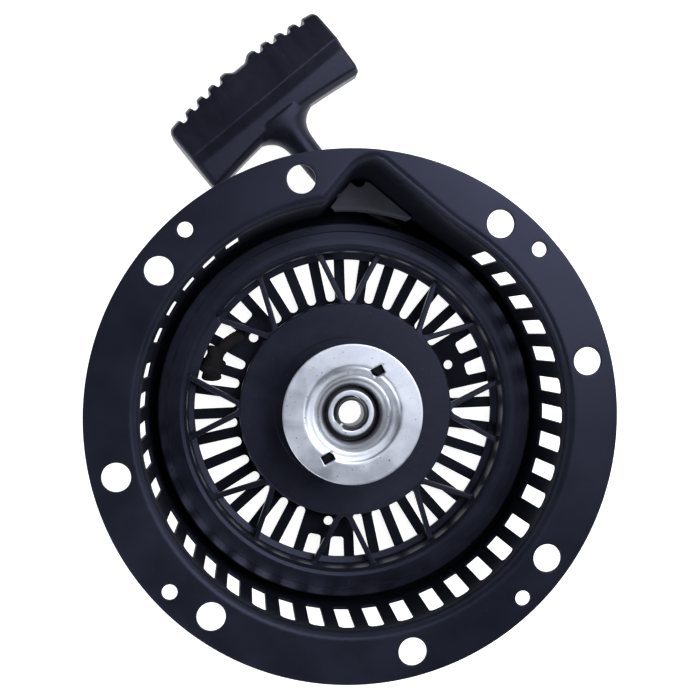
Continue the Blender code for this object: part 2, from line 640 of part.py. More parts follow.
def build_dog(number, finish, spring_finish, parent):
    """One dog, its pivot eye at the origin of its own parent, and the small spring under it."""
    pivot = DOG_PIVOT_ANGLES[number - 1]
    centre = polar(DOG_PIVOT_RADIUS, pivot)
    outline = arc(centre[:2], 3.4, pivot - 180.0, pivot, 8)
    outline += arc((0, 0), POCKET_RADIUS - 0.7, pivot + 9.5, pivot + DOG_SWEEP, 8)
    outline += arc((0, 0), POCKET_RADIUS - 0.7 - 2 * DOG_HALF_WIDTH, pivot + DOG_SWEEP + 3.0, pivot + 14.0, 8)
    body = bmesh.new()
    add_prism(body, outline, DOG_BOTTOM, DOG_TOP)
    dog = make_object(f"dog_{number}", body, finish, parent, at=centre)
    eye = bmesh.new()
    add_cylinder(eye, (*centre[:2], DOG_BOTTOM - 1), (*centre[:2], DOG_TOP + 1), 2.1, segments=14)
    combine(dog, make_tool(f"dog_eye_tool_{number}", eye, parent.parent), "DIFFERENCE")
    coil = [Vector(centre) + Vector(point) for point in helix(2.5, POCKET_FLOOR + 0.6, 36.7, 2.5, 12)]
    make_tube(f"dog_spring_{number}", coil, 0.3, spring_finish, parent.parent, sides=1)


# Handle ----------------------------------------------------------------------------------------


def handle_point(along, across, z):
    """A point in the handle's axes, as x, y, z from the reel's axis."""
    out = Vector((math.cos(PULL_ANGLE), math.sin(PULL_ANGLE), 0.0))
    side = Vector((math.sin(PULL_ANGLE), -math.cos(PULL_ANGLE), 0.0))
    return HANDLE_ROOT + out * along + side * across + Vector((0, 0, z))


def grip_section(across):
    """The bar's outline at a distance from its middle: flat front, ridge, and a hollowed back."""
    away = abs(across) / HANDLE_HALF_LENGTH
    front = HANDLE_FRONT - HANDLE_END_DROP * away ** 1.5
    back = HANDLE_BACK + 2.5 * (1 - away)
    half = [(back, 4.0), (back + 2.0, 7.6), (back + 8.0, 9.6), (HANDLE_RIDGE, 11.8)]
    half += [(front - 2.0, 9.4), (front, 7.4)]
    lower = [(along, -z) for along, z in reversed(half)]
    return [handle_point(along, across, z) for along, z in half + lower]


def build_handle(finish, insert_finish, rope_finish, root):
    bar = bmesh.new()
    ends = (-HANDLE_HALF_LENGTH, -30.0, -20.0, -10.0, 0.0, 10.0, 20.0, 30.0, HANDLE_HALF_LENGTH)
    add_loft(bar, [grip_section(across) for across in ends])
    grip = make_object("handle_grip", bar, finish, root)

    stem = bmesh.new()
    rings = []
    for along, wide, thick in ((HANDLE_TIP, 5.6, 5.6), (8.0, 6.0, 6.0), (24.0, 6.2, 6.6), (30.0, 8.0, 7.4),
                               (35.0, 13.0, 8.2), (42.0, 20.0, 9.0)):
        ring = [handle_point(along, wide * math.cos(turn), thick * math.sin(turn))
                for turn in (math.tau * k / 20 for k in range(20))]
        rings.append(ring)
    add_loft(stem, rings)
    combine(grip, make_tool("stem_tool", stem, root), "UNION")

    cuts = bmesh.new()
    mouth, inside = handle_point(-2.0, 0, 0), handle_point(HANDLE_CAVITY_START + 1.0, 0, 0)
    add_cylinder(cuts, mouth, inside, HANDLE_BORE, segments=16)
    combine(grip, make_tool("bore_tool", cuts, root), "DIFFERENCE")
    grooves = bmesh.new()
    add_cylinder(grooves, handle_point(HANDLE_CAVITY_START, 0, 0), handle_point(HANDLE_FRONT + 6.0, 0, 0),
                 HANDLE_CAVITY, segments=20)
    turn = math.degrees(PULL_ANGLE) - 90.0
    for side in (-1, 1):
        for start in NOTCH_STARTS:
            across = side * (start + NOTCH_WIDTH / 2)
            front = HANDLE_FRONT - HANDLE_END_DROP * (abs(across) / HANDLE_HALF_LENGTH) ** 1.5
            place = handle_point(front - NOTCH_DEPTH / 2 + 5.0, across, 0.0)
            add_box(grooves, place, (NOTCH_WIDTH, NOTCH_DEPTH + 10.0, 40.0), turn)
    combine(grip, make_tool("groove_tool", grooves, root), "DIFFERENCE")
    dip = bmesh.new()
    below, above = (handle_point(HANDLE_FRONT + 5.4, 0, z) for z in (-20, 20))
    add_cylinder(dip, below, above, 8.4, segments=24)
    combine(grip, make_tool("dip_tool", dip, root), "DIFFERENCE")

    ferrule = bmesh.new()
    add_lathe(ferrule, [(2.7, 0.0), (5.6, 0.0), (5.6, 5.0), (4.6, 6.0), (2.7, 6.0)], 20)
    pull = Vector((math.cos(PULL_ANGLE), math.sin(PULL_ANGLE), 0.0))
    upright = pull.to_track_quat("Z", "Y").to_matrix().to_4x4()
    seat = Matrix.Translation(handle_point(HANDLE_CAVITY_START + GAP, 0, 0)) @ upright
    bmesh.ops.transform(ferrule, matrix=seat, verts=ferrule.verts)
    make_object("handle_insert", ferrule, insert_finish, root)

    knot = bmesh.new()
    place = Matrix.Translation(handle_point(HANDLE_CAVITY_START + 11.2, 0, 0))
    bmesh.ops.create_icosphere(knot, subdivisions=2, radius=4.7, matrix=place)
    make_object("handle_knot", knot, rope_finish, root)


def build():
    clear_scene()
    black_steel = finish_material("black_steel", (0.018, 0.02, 0.028), 0.38, 0.1)
    matte_steel = finish_material("matte_steel", (0.03, 0.031, 0.036), 0.6, 0.1)
    reel_plastic = finish_material("reel_plastic", (0.022, 0.024, 0.031), 0.5, 0.0)
    grip_plastic = finish_material("grip_plastic", (0.02, 0.022, 0.03), 0.42, 0.0)
    zinc = finish_material("zinc_plate", (0.72, 0.74, 0.78), 0.32, 1.0)
    spring_steel = finish_material("spring_steel", (0.16, 0.16, 0.17), 0.4, 1.0)
    pin_steel = finish_material("pin_steel", (0.1, 0.1, 0.11), 0.4, 1.0)
    rope = finish_material("rope", (0.02, 0.018, 0.02), 0.85, 0.0)

    root = make_empty("starter_frame", None, (*AXIS, 0.0))
    build_housing(black_steel, root)
    build_outlet(black_steel, matte_steel, root)
    build_centre(pin_steel, pin_steel, zinc, root)
    build_rewind_spring(spring_steel, root)
    build_rope_run(rope, root)

    reel = make_empty("reel_frame", root, (0, 0, 0))
    build_pulley(reel_plastic, reel)
    build_windings(rope, reel)
    build_reel_knot(rope, reel)
    build_spring_cover(spring_steel, reel)
    build_brake_spring(spring_steel, reel)
    build_retainer(zinc, make_empty("retainer_frame", reel, (0, 0, 0)))
    for number in (1, 2):
        dog_frame = make_empty(f"dog_frame_{number}", reel, (0, 0, 0))
        build_dog(number, pin_steel, spring_steel, dog_frame)

    handle = make_empty("handle_frame", root, (0, 0, 0))
    build_handle(grip_plastic, zinc, rope, handle)


build()
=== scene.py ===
"""The recoil starter's looks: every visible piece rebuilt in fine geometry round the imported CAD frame.

Shapes are worked out in millimetres from the reel's axis, with z counted up from the housing's closed
face, and are turned into the frame's metres as each mesh is made.  Angles are in degrees,
counter-clockwise from +X as seen from the engine side.
"""
import json
import math

import bmesh
import bpy
import numpy as np
from mathutils import Matrix, Vector
from mathutils.geometry import delaunay_2d_cdt


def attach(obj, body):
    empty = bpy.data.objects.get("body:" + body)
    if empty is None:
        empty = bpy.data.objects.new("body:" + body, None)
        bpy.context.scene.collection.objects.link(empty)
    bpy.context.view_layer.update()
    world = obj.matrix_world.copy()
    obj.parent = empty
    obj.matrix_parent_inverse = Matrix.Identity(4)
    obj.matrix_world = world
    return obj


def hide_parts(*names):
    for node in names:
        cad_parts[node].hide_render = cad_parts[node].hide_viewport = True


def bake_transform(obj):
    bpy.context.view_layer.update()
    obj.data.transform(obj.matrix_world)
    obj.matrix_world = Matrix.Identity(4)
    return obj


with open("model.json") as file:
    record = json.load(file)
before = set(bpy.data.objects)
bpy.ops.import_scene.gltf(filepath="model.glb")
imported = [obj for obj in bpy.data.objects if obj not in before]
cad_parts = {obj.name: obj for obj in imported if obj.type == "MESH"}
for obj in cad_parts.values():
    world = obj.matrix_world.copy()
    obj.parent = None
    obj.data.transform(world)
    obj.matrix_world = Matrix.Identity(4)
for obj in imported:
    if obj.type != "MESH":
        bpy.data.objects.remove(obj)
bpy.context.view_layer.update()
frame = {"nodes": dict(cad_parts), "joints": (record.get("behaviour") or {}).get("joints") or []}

MM = 0.001
REEL_AXIS = Vector(next(j["pos_m"] for j in frame["joints"] if j["name"] == "reel_turn"))
PULL = Vector(next(j["axis"] for j in frame["joints"] if j["name"] == "handle_pull"))

# ---------------------------------------------------------------- small geometry helpers


def polar(radius, degrees, z=0.0):
    turn = math.radians(degrees)
    return (radius * math.cos(turn), radius * math.sin(turn), z)


def smooth_step(value):
    value = np.clip(value, 0.0, 1.0)
    return value * value * (3 - 2 * value)


def smooth_min(a, b, reach):
    mix = np.clip(0.5 + 0.5 * (b - a) / reach, 0.0, 1.0)
    return b * (1 - mix) + a * mix - reach * mix * (1 - mix)


def smooth_max(a, b, reach):
    return -smooth_min(-a, -b, reach)


def rounded(corners, steps=4):
    """A closed outline whose corners, given as (x, y, radius), are turned into arcs."""
    line = []
    for k, (x, y, radius) in enumerate(corners):
        here = Vector((x, y))
        if radius <= 0:
            line.append(here)
            continue
        back = (Vector(corners[k - 1][:2]) - here).normalized()
        ahead = (Vector(corners[(k + 1) % len(corners)][:2]) - here).normalized()
        half = back.angle(ahead) / 2
        centre = here + (back + ahead).normalized() * radius / math.sin(half)
        first = here + back * radius / math.tan(half) - centre
        last = here + ahead * radius / math.tan(half) - centre
        start = math.atan2(first.y, first.x)
        sweep = (math.atan2(last.y, last.x) - start + math.pi) % math.tau - math.pi
        for step in range(steps + 1):
            turn = start + sweep * step / steps
            line.append(centre + radius * Vector((math.cos(turn), math.sin(turn))))
    return line


def circle(x, y, radius, count):
    return [(x + radius * math.cos(math.tau * k / count), y + radius * math.sin(math.tau * k / count))
            for k in range(count)]


def smooth_path(points, per_span=8):
    """A smooth curve (Catmull-Rom) through the given points."""
    points = [Vector(p) for p in points]
    ends = [points[0] * 2 - points[1]] + points + [points[-1] * 2 - points[-2]]
    line = []
    for a, b, c, d in zip(ends, ends[1:], ends[2:], ends[3:]):
        for step in range(per_span):
            t = step / per_span
            line.append(0.5 * (2 * b + (c - a) * t + (2 * a - 5 * b + 4 * c - d) * t * t
                               + (3 * b - a - 3 * c + d) * t ** 3))
    return line + [points[-1]]


# ---------------------------------------------------------------- making pieces


class Shape:
    """Vertices and faces in millimetres, gathered before they become one mesh."""

    def __init__(self):
        self.verts = []
        self.faces = []

    def add(self, verts, faces):
        start = len(self.verts)
        self.verts.extend(tuple(v) for v in verts)
        self.faces.extend(tuple(start + k for k in face) for face in faces)

    def lathe(self, profile, segments=256, place=None):
        """Turn a closed (radius, z) outline about the z axis."""
        count = len(profile)
        verts = [polar(r, 360.0 * k / segments, z) for k in range(segments) for r, z in profile]
        if place:
            verts = [place @ Vector(v) for v in verts]
        faces = []
        for k in range(segments):
            here, ahead = k * count, (k + 1) % segments * count
            for i in range(count):
                j = (i + 1) % count
                faces.append((here + i, ahead + i, ahead + j, here + j))
        self.add(verts, faces)

    def loft(self, rings, closed=False):
        """Join equal rings of points, capped at both ends or closed on itself."""
        count = len(rings[0])
        verts = [p for ring in rings for p in ring]
        faces = []
        spans = len(rings) if closed else len(rings) - 1
        for row in range(spans):
            here, ahead = row * count, (row + 1) % len(rings) * count
            for i in range(count):
                j = (i + 1) % count
                faces.append((here + i, here + j, ahead + j, ahead + i))
        if not closed:
            faces.append(tuple(range(count)))
            faces.append(tuple((len(rings) - 1) * count + i for i in range(count)))
        self.add(verts, faces)

    def tube(self, line, radius, sides=12, surface=None):
        """A round section carried along a line; surface(length, turn) may add to the radius."""
        line = [Vector(p) for p in line]
        along = (line[1] - line[0]).normalized()
        side = along.orthogonal().normalized()
        rings = []
        length = 0.0
        for k, here in enumerate(line):
            ahead = (line[min(k + 1, len(line) - 1)] - line[max(k - 1, 0)]).normalized()
            side = (side - ahead * side.dot(ahead)).normalized()
            other = ahead.cross(side)
            if k:
                length += (here - line[k - 1]).length
            near_end = min(k, len(line) - 1 - k)
            close = (0.55, 0.86, 0.97)[near_end] if near_end < 3 else 1.0
            ring = []
            for i in range(sides):
                turn = math.tau * i / sides
                reach = radius * close + (surface(length, turn) if surface else 0.0)
                ring.append(here + side * math.cos(turn) * reach + other * math.sin(turn) * reach)
            rings.append(ring)
        self.loft(rings)


def new_mesh(name, shape):
    data = bpy.data.meshes.new(name)
    offset = np.array([REEL_AXIS.x, REEL_AXIS.y, 0.0])
    verts = np.array(shape.verts, float) * MM + offset
    data.from_pydata(verts.tolist(), [], shape.faces)
    mesh = bmesh.new()
    mesh.from_mesh(data)
    bmesh.ops.recalc_face_normals(mesh, faces=mesh.faces)
    mesh.to_mesh(data)
    mesh.free()
    return data


def add_object(name, data):
    made = bpy.data.objects.new(name, data)
    bpy.context.scene.collection.objects.link(made)
    return made


def make_piece(name, shape, material, body, nodes, sharp=None):
    finish_piece(add_object(name, new_mesh(name, shape)), material, body, nodes, sharp)


def finish_piece(made, material, body, nodes, sharp=None):
    """Shade a piece, let it ride on a CAD body, and let it stand for CAD nodes."""
    made.data.materials.clear()
    made.data.materials.append(material)
    made.data.shade_smooth()
    if sharp:
        made.data.set_sharp_from_angle(angle=math.radians(sharp))
    even = made.modifiers.new("Weighted", "WEIGHTED_NORMAL")
    even.keep_sharp = True
    if body:
        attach(made, body)
    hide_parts(*nodes)


def inside_loop(points, loop):
    """Which of the points lie inside a closed loop."""
    x, y = points[:, 0], points[:, 1]
    inside = np.zeros(len(points), bool)
    for (ax, ay), (bx, by) in zip(loop, np.roll(loop, -1, axis=0)):
        crosses = (ay > y) != (by > y)
        with np.errstate(divide="ignore", invalid="ignore"):
            inside ^= crosses & (x < (bx - ax) * (y - ay) / (by - ay) + ax)
    return inside


def near_loop(points, loop, reach):
    """Which of the points lie within reach of a closed loop."""
    near = np.zeros(len(points), bool)
    for a, b in zip(loop, np.roll(loop, -1, axis=0)):
        run = b - a
        t = np.clip((points - a) @ run / max(run @ run, 1e-12), 0, 1)
        near |= np.hypot(*(points - a - t[:, None] * run).T) < reach
    return near


def stamping(surface, outlines, seeds, thickness, edge=0.25, clear=0.5):
    """A pressed or stamped sheet with rounded edges.

    The sheet fills the first outline and leaves the others out; an outline is a function of how far
    it is moved into the metal.  surface(xy, depth) lays plane points on the part at a depth.
    """
    loops = [np.array([tuple(p)[:2] for p in outline(edge)]) for outline in outlines]
    seeds = np.array(seeds)
    for loop in loops:
        low, high = loop.min(0) - clear, loop.max(0) + clear
        test = np.where(np.all((seeds > low) & (seeds < high), axis=1))[0]
        outer = loop is loops[0]
        bad = near_loop(seeds[test], loop, clear)
        bad |= ~inside_loop(seeds[test], loop) if outer else inside_loop(seeds[test], loop)
        seeds = np.delete(seeds, test[bad], axis=0)
    points = np.vstack(loops + [seeds])
    rims = []
    start = 0
    for loop in loops:
        rims.append(list(range(start, start + len(loop))))
        start += len(loop)
    edges = [(rim[k], rim[(k + 1) % len(rim)]) for rim in rims for k in range(len(rim))]
    turned = [rim if winding(loop) > 0 else rim[::-1] for rim, loop in zip(rims, loops)]
    result = delaunay_2d_cdt([Vector(p) for p in points], edges, turned, 1, 1e-7)
    flat = np.array([tuple(p) for p in result[0]])
    inner = [tuple(f) for f, origin in zip(result[2], result[5]) if set(origin) == {0}]
    new_index = {old: new for new, olds in enumerate(result[3]) for old in olds}

    count = len(flat)
    verts = [surface(flat, np.zeros(count)), surface(flat, np.full(count, thickness))]
    faces = inner + [tuple(count + k for k in reversed(face)) for face in inner]
    total = 2 * count
    levels = [(0.29, 0.29), (0.0, 1.0), (0.0, -1.0), (0.29, -0.29)]
    for outline, rim in zip(outlines, rims):
        previous = [new_index[k] for k in rim]
        for grow, depth in levels:
            ring = np.array([tuple(p)[:2] for p in outline(grow * edge)])
            level = depth * edge if depth > 0 else thickness + depth * edge
            verts.append(surface(ring, np.full(len(ring), level)))
            here = list(range(total, total + len(ring)))
            total += len(ring)
            faces += strip(previous, here)
            previous = here
        faces += strip(previous, [count + new_index[k] for k in rim])
    shape = Shape()
    shape.add(np.vstack(verts), faces)
    return shape


def winding(loop):
    x, y = loop[:, 0], loop[:, 1]
    return float(np.sum(x * np.roll(y, -1) - np.roll(x, -1) * y))


def strip(one, other):
    count = len(one)
    return [(one[k], one[(k + 1) % count], other[(k + 1) % count], other[k]) for k in range(count)]


# ---------------------------------------------------------------- materials


class Shader:
    """One procedural material, with short calls for the nodes it needs."""

    def __init__(self, name, colour, roughness, metallic=0.0, **sockets):
        self.material = bpy.data.materials.new(name)
        self.material.use_nodes = True
        self.tree = self.material.node_tree
        self.main = self.tree.nodes["Principled BSDF"]
        self.main.inputs["Base Color"].default_value = (*colour, 1.0)
        self.main.inputs["Roughness"].default_value = roughness
        self.main.inputs["Metallic"].default_value = metallic
        for name_, value in sockets.items():
            self.main.inputs[name_.replace("_", " ").title().replace("Ior", "IOR")].default_value = value
        self.place = self.node("ShaderNodeTexCoord").outputs["Object"]

    def node(self, kind, settings=None, **inputs):
        made = self.tree.nodes.new(kind)
        for key, value in (settings or {}).items():
            setattr(made, key, value)
        for key, value in inputs.items():
            self.set(made.inputs[int(key[1:]) if key[0] == "_" else key.replace("_", " ")], value)
        return made

    def set(self, socket, value):
        if isinstance(value, bpy.types.NodeSocket):
            self.tree.links.new(value, socket)
        else:
            socket.default_value = value

    def noise(self, scale, detail=3.0, roughness=0.5, stretch=None, distortion=0.0):
        place = self.place
        if stretch:
            place = self.node("ShaderNodeMapping", Vector=place, Scale=stretch).outputs[0]
        made = self.node("ShaderNodeTexNoise", Vector=place, Scale=scale, Detail=detail, Roughness=roughness,
                         Distortion=distortion)
        return made.outputs["Fac"]

    def height(self):
        return self.node("ShaderNodeSeparateXYZ", Vector=self.place).outputs["Z"]

    def ramp(self, value, low, high, out_low=0.0, out_high=1.0):
        """Map low..high to out_low..out_high, held at the ends."""
        made = self.node("ShaderNodeMapRange", {"clamp": True}, Value=value, From_Min=low, From_Max=high,
                         To_Min=out_low, To_Max=out_high)
        return made.outputs["Result"]

    def math(self, operation, a, b=0.0):
        return self.node("ShaderNodeMath", {"operation": operation}, _0=a, _1=b).outputs[0]

    def mix(self, amount, a, b):
        made = self.node("ShaderNodeMix", {"data_type": "RGBA"}, _0=amount)
        for index, value in ((6, a), (7, b)):
            self.set(made.inputs[index], value if isinstance(value, bpy.types.NodeSocket) else (*value, 1.0))
        return made.outputs[2]

    def colour(self, value):
        self.tree.links.new(value, self.main.inputs["Base Color"])

    def roughness(self, value):
        self.tree.links.new(value, self.main.inputs["Roughness"])

    def bump(self, height, distance, strength=1.0, after=None):
        made = self.node("ShaderNodeBump", Height=height, Distance=distance, Strength=strength)
        if after:
            self.tree.links.new(after.outputs[0], made.inputs["Normal"])
        self.tree.links.new(made.outputs[0], self.main.inputs["Normal"])
        return made


def enamel(name, colour, roughness):
    """Black stove enamel: faint orange peel, dust and clouds; matter inside the bowl, where painted shade
    darkens its colour.
    """
    s = Shader(name, colour, roughness, specular_ior_level=0.30, specular_tint=(0.62, 0.66, 1.0, 1.0))
    cloud = s.noise(26.0, 4.0, 0.6)
    dust = s.ramp(s.noise(1500.0, 2.0, 0.7), 0.66, 0.74)
    patches = s.ramp(s.noise(60.0, 3.0), 0.5, 0.68)
    lighter = tuple(c * 1.5 + 0.002 for c in colour)
    base = s.mix(s.ramp(cloud, 0.35, 0.7), colour, lighter)
    # Painted shade: the colour darkens towards the bowl's floor. The same ramp also raises the roughness
    # there.
    inside = s.ramp(s.height(), 0.046, 0.057, 1.0, 0.0)
    base = s.mix(inside, base, tuple(c * 0.4 for c in colour))
    s.colour(s.mix(s.math("MULTIPLY", s.math("MULTIPLY", dust, patches), 0.35), base, (0.16, 0.16, 0.17)))
    s.roughness(s.math("ADD", s.ramp(cloud, 0.3, 0.7, roughness - 0.05, roughness + 0.07),
                       s.math("MULTIPLY", inside, 0.35)))
    peel = s.bump(s.noise(1100.0, 2.0, 0.4), 0.00003, 0.5)
    s.bump(s.noise(3800.0, 1.0), 0.000012, 0.35, after=peel)
    return s.material


def moulded(name, colour, roughness, grain=2600.0):
    """Moulded plastic: fine grain, flow clouds and rubbed spots."""
    s = Shader(name, colour, roughness, specular_ior_level=0.30, specular_tint=(0.62, 0.66, 1.0, 1.0))
    cloud = s.noise(38.0, 5.0, 0.62, distortion=0.6)
    lighter = tuple(c * 1.45 + 0.003 for c in colour)
    rubbed = s.ramp(s.noise(420.0, 4.0, 0.7), 0.62, 0.72)
    base = s.mix(s.ramp(cloud, 0.35, 0.68), colour, lighter)
    s.colour(s.mix(s.math("MULTIPLY", rubbed, 0.18), base, (0.10, 0.10, 0.11)))
    s.roughness(s.ramp(cloud, 0.3, 0.72, roughness - 0.06, roughness + 0.08))
    s.bump(s.noise(grain, 3.0, 0.6), 0.00004, 0.6)
    return s.material


def zinc_plate(name, neck=0.0):
    """Bright zinc plating: rolled streaks, scratches, stains and specks; the neck is darkened with painted
    shade.
    """
    s = Shader(name, (0.70, 0.74, 0.83), 0.36, 1.0)
    streaks = s.noise(900.0, 3.0, 0.6, stretch=(0.12, 1.0, 1.0))
    cloud = s.noise(95.0, 5.0, 0.65)
    scratch = s.ramp(s.noise(1400.0, 1.0, 0.3, stretch=(0.05, 1.0, 0.6)), 0.70, 0.74)
    specks = s.ramp(s.noise(800.0, 1.0, 0.4), 0.735, 0.76)
    stain = s.ramp(s.noise(210.0, 5.0, 0.75), 0.56, 0.74)
    base = s.mix(s.ramp(cloud, 0.35, 0.7), (0.66, 0.70, 0.80), (0.80, 0.84, 0.92))
    base = s.mix(s.math("MULTIPLY", stain, 0.35), base, (0.50, 0.47, 0.44))
    base = s.mix(s.math("MULTIPLY", specks, 0.8), base, (0.10, 0.085, 0.075))
    # Painted shade: the colour darkens towards the bottom of the neck, by the amount given as neck.
    s.colour(s.mix(s.ramp(s.height(), 0.0345, 0.0425, neck, 0.0), base, (0.03, 0.031, 0.036)))
    s.roughness(s.math("ADD", s.ramp(cloud, 0.3, 0.7, 0.27, 0.42), s.math("MULTIPLY", streaks, 0.10)))
    fine = s.bump(streaks, 0.00001, 0.5)
    s.bump(scratch, 0.00002, 0.4, after=fine)
    return s.material


def dark_steel(name, colour, roughness):
    """Blued or oiled steel with turned marks and oil clouds."""
    s = Shader(name, colour, roughness, 0.9)
    cloud = s.noise(160.0, 4.0, 0.6)
    s.colour(s.mix(s.ramp(cloud, 0.35, 0.7), colour, tuple(c * 1.7 for c in colour)))
    s.roughness(s.ramp(cloud, 0.3, 0.7, roughness - 0.07, roughness + 0.1))
    s.bump(s.noise(2400.0, 2.0, 0.5, stretch=(1.0, 1.0, 0.2)), 0.00001, 0.6)
    return s.material


def braided(name):
    """Black braided cord: matt fibres, worn brownish in places."""
    s = Shader(name, (0.014, 0.012, 0.015), 0.9, specular_ior_level=0.2)
    fibres = s.noise(5200.0, 3.0, 0.7)
    cloud = s.noise(240.0, 4.0, 0.7)
    base = s.mix(s.ramp(cloud, 0.35, 0.7), (0.006, 0.0055, 0.008), (0.018, 0.015, 0.016))
    s.colour(s.mix(s.math("MULTIPLY", s.ramp(fibres, 0.55, 0.75), 0.3), base, (0.04, 0.034, 0.034)))
    s.bump(fibres, 0.00012, 0.8)
    return s.material


def floor_white():
    """The pale sweep under the part, evenly lit like a light table."""
    s = Shader("light_table", (0.9, 0.9, 0.9), 0.9)
    s.main.inputs["Emission Color"].default_value = (1.0, 1.0, 1.0, 1.0)
    s.main.inputs["Emission Strength"].default_value = 0.9
    s.colour(s.mix(s.noise(6.0, 2.0), (0.88, 0.88, 0.89), (0.92, 0.92, 0.92)))
    return s.material


ENAMEL = enamel("black_enamel", (0.0085, 0.0095, 0.017), 0.34)
MATT_PLATE = moulded("matt_plate", (0.050, 0.051, 0.062), 0.62, grain=1800.0)
REEL_PLASTIC = moulded("reel_plastic", (0.0105, 0.0115, 0.020), 0.34)
GRIP_PLASTIC = moulded("grip_plastic", (0.0095, 0.0100, 0.017), 0.36)
ZINC = zinc_plate("zinc_plate")
# The retainer's plating, its neck darkened by painted shade.
ZINC_NECK_SHADED = zinc_plate("zinc_plate_neck_shaded", neck=1.0)
DARK_STEEL = dark_steel("dark_steel", (0.055, 0.055, 0.06), 0.36)
SPRING_STEEL = dark_steel("spring_steel", (0.12, 0.12, 0.125), 0.32)
DOG_STEEL = dark_steel("dog_steel", (0.010, 0.010, 0.011), 0.55)
ROPE = braided("braided_cord")

# ---------------------------------------------------------------- housing

SHEET = 1.5
FLANGE_TOP = 60.0
FLANGE_RADIUS = 110.0
WALL_RADIUS = 88.0
ROLL = 4.0
WALL_TOP = FLANGE_TOP - ROLL
DISH_Z = 1.5
FLOOR_Z = 5.5
NOSE_FLOOR_Z = 7.5
DISH_STEP = (44.6, 48.4)
POST_HOLE = 13.3
NOSE_TURN = 51.0
NOSE_SIDE = 86.7
NOSE_FLANK = 64.6

# The flat pattern's radii: floor, transition, corner, wall, roll, flange
PATTERN_FLOOR = 78.0
PATTERN_CORNER = 86.0
PATTERN_WALL = 98.0
PATTERN_ROLL = 142.0
PATTERN_FLANGE = 148.4
PATTERN_RIM = PATTERN_FLANGE + FLANGE_RADIUS - WALL_RADIUS - ROLL - 0.3

FLOOR_SLOTS = 36
FLOOR_RIB = 4.8
PAD_ANGLES = (22.0, 142.0, 262.0)
WALL_SLOT_GROUPS = (33.0, 141.4, 183.9, 226.9, 267.8, 309.4, 351.5)
WALL_SLOT_PITCH = 8.13
WALL_SLOT_SIZE = (6.6, 21.5, 52.5)
BIG_HOLES = [(99.7, 33.3 + side * 20.0 + 90.0 * k, 5.85) for k in range(4) for side in (-1, 1)]
SMALL_HOLES = [(103.1, 42.4 + 90.0 * k, 3.15) for k in range(4)]
PAD_HOLES = [(52.9, pad, 2.1) for pad in PAD_ANGLES]
EYELET = (74.7, 14.5, 4.3)


def nose_point(out, along, z=0.0):
    """A point in the nose's axes: out from the reel at 51 degrees, and along its tangent."""
    turn = math.radians(NOSE_TURN)
    return (out * math.cos(turn) - along * math.sin(turn), out * math.sin(turn) + along * math.cos(turn), z)


def wall_reach(theta):
    """The wall's distance from the axis: the bowl's circle, run smoothly into the nose's two sides."""
    alpha = (theta - math.radians(NOSE_TURN) + math.pi) % math.tau - math.pi
    inside = np.clip(alpha, 0.02, 1.3)
    sides = smooth_min(NOSE_SIDE / np.cos(inside), NOSE_FLANK / np.sin(inside), 14.4)
    nose = smooth_max(sides, WALL_RADIUS, 1.9)
    ease = smooth_step((alpha - 0.02) / 0.1) * (alpha < 1.2)
    return WALL_RADIUS + (nose - WALL_RADIUS) * ease


def wall_line(theta):
    """The wall's place and outward direction at an angle, and how far it is in the nose."""
    step = 0.002
    reach = wall_reach(theta)
    slope = (wall_reach(theta + step) - wall_reach(theta - step)) / (2 * step)
    radial = np.stack([np.cos(theta), np.sin(theta)], axis=-1)
    tangent = np.stack([-np.sin(theta), np.cos(theta)], axis=-1)
    outward = radial * reach[..., None] - tangent * slope[..., None]
    outward /= np.linalg.norm(outward, axis=-1, keepdims=True)
    nose = smooth_step((reach - WALL_RADIUS) / 7.0)
    return radial * reach[..., None], outward, nose


def corner_radius(nose):
    return 8.0 - 5.6 * nose


def floor_level(nose):
    return FLOOR_Z + (NOSE_FLOOR_Z - FLOOR_Z) * nose


def bowl_point(pattern, theta):
    """The inside face of the pressing at a radius of the flat pattern and an angle."""
    wall, outward, nose = wall_line(theta)
    corner = corner_radius(nose)
    level = floor_level(nose)
    radial = np.stack([np.cos(theta), np.sin(theta)], axis=-1)
    draft = -0.9 * nose

    dish = DISH_Z + (FLOOR_Z - DISH_Z) * smooth_step((pattern - DISH_STEP[0]) / (DISH_STEP[1] - DISH_STEP[0]))
    floor = radial * pattern[..., None]
    t = np.clip((pattern - PATTERN_FLOOR) / (PATTERN_CORNER - PATTERN_FLOOR), 0, 1)
    foot = wall + outward * (draft - corner)[..., None]
    across = radial * PATTERN_FLOOR * (1 - t)[..., None] + foot * t[..., None]
    across_z = FLOOR_Z + (level - FLOOR_Z) * smooth_step(t)
    turn = np.clip((pattern - PATTERN_CORNER) / (PATTERN_WALL - PATTERN_CORNER), 0, 1) * math.pi / 2
    bend = wall + outward * (draft - corner * (1 - np.sin(turn)))[..., None]
    bend_z = level + corner * (1 - np.cos(turn))
    up = np.clip((pattern - PATTERN_WALL) / (PATTERN_ROLL - PATTERN_WALL), 0, 1)
    side = wall + outward * (draft * (1 - up) + 0.3 * up)[..., None]
    side_z = level + corner + (WALL_TOP - level - corner) * up
    over = np.clip((pattern - PATTERN_ROLL) / (PATTERN_FLANGE - PATTERN_ROLL), 0, 1) * math.pi / 2
    roll = wall + outward * (0.3 + ROLL * (1 - np.cos(over)))[..., None]
    roll_z = WALL_TOP + ROLL * np.sin(over)
    out = np.clip((pattern - PATTERN_FLANGE) / (PATTERN_RIM - PATTERN_FLANGE), 0, 1)
    brim = wall + outward * (0.3 + ROLL)
    flange = brim * (1 - out)[..., None] + radial * FLANGE_RADIUS * out[..., None]

    places = [floor, across, bend, side, roll, flange]
    heights = [dish, across_z, bend_z, side_z, roll_z, np.full_like(pattern, FLANGE_TOP)]
    ends = [PATTERN_FLOOR, PATTERN_CORNER, PATTERN_WALL, PATTERN_ROLL, PATTERN_FLANGE]
    zone = np.searchsorted(ends, pattern, side="right")
    xy = np.choose(zone[..., None], places)
    z = np.choose(zone, heights)
    return np.concatenate([xy, z[..., None]], axis=-1)


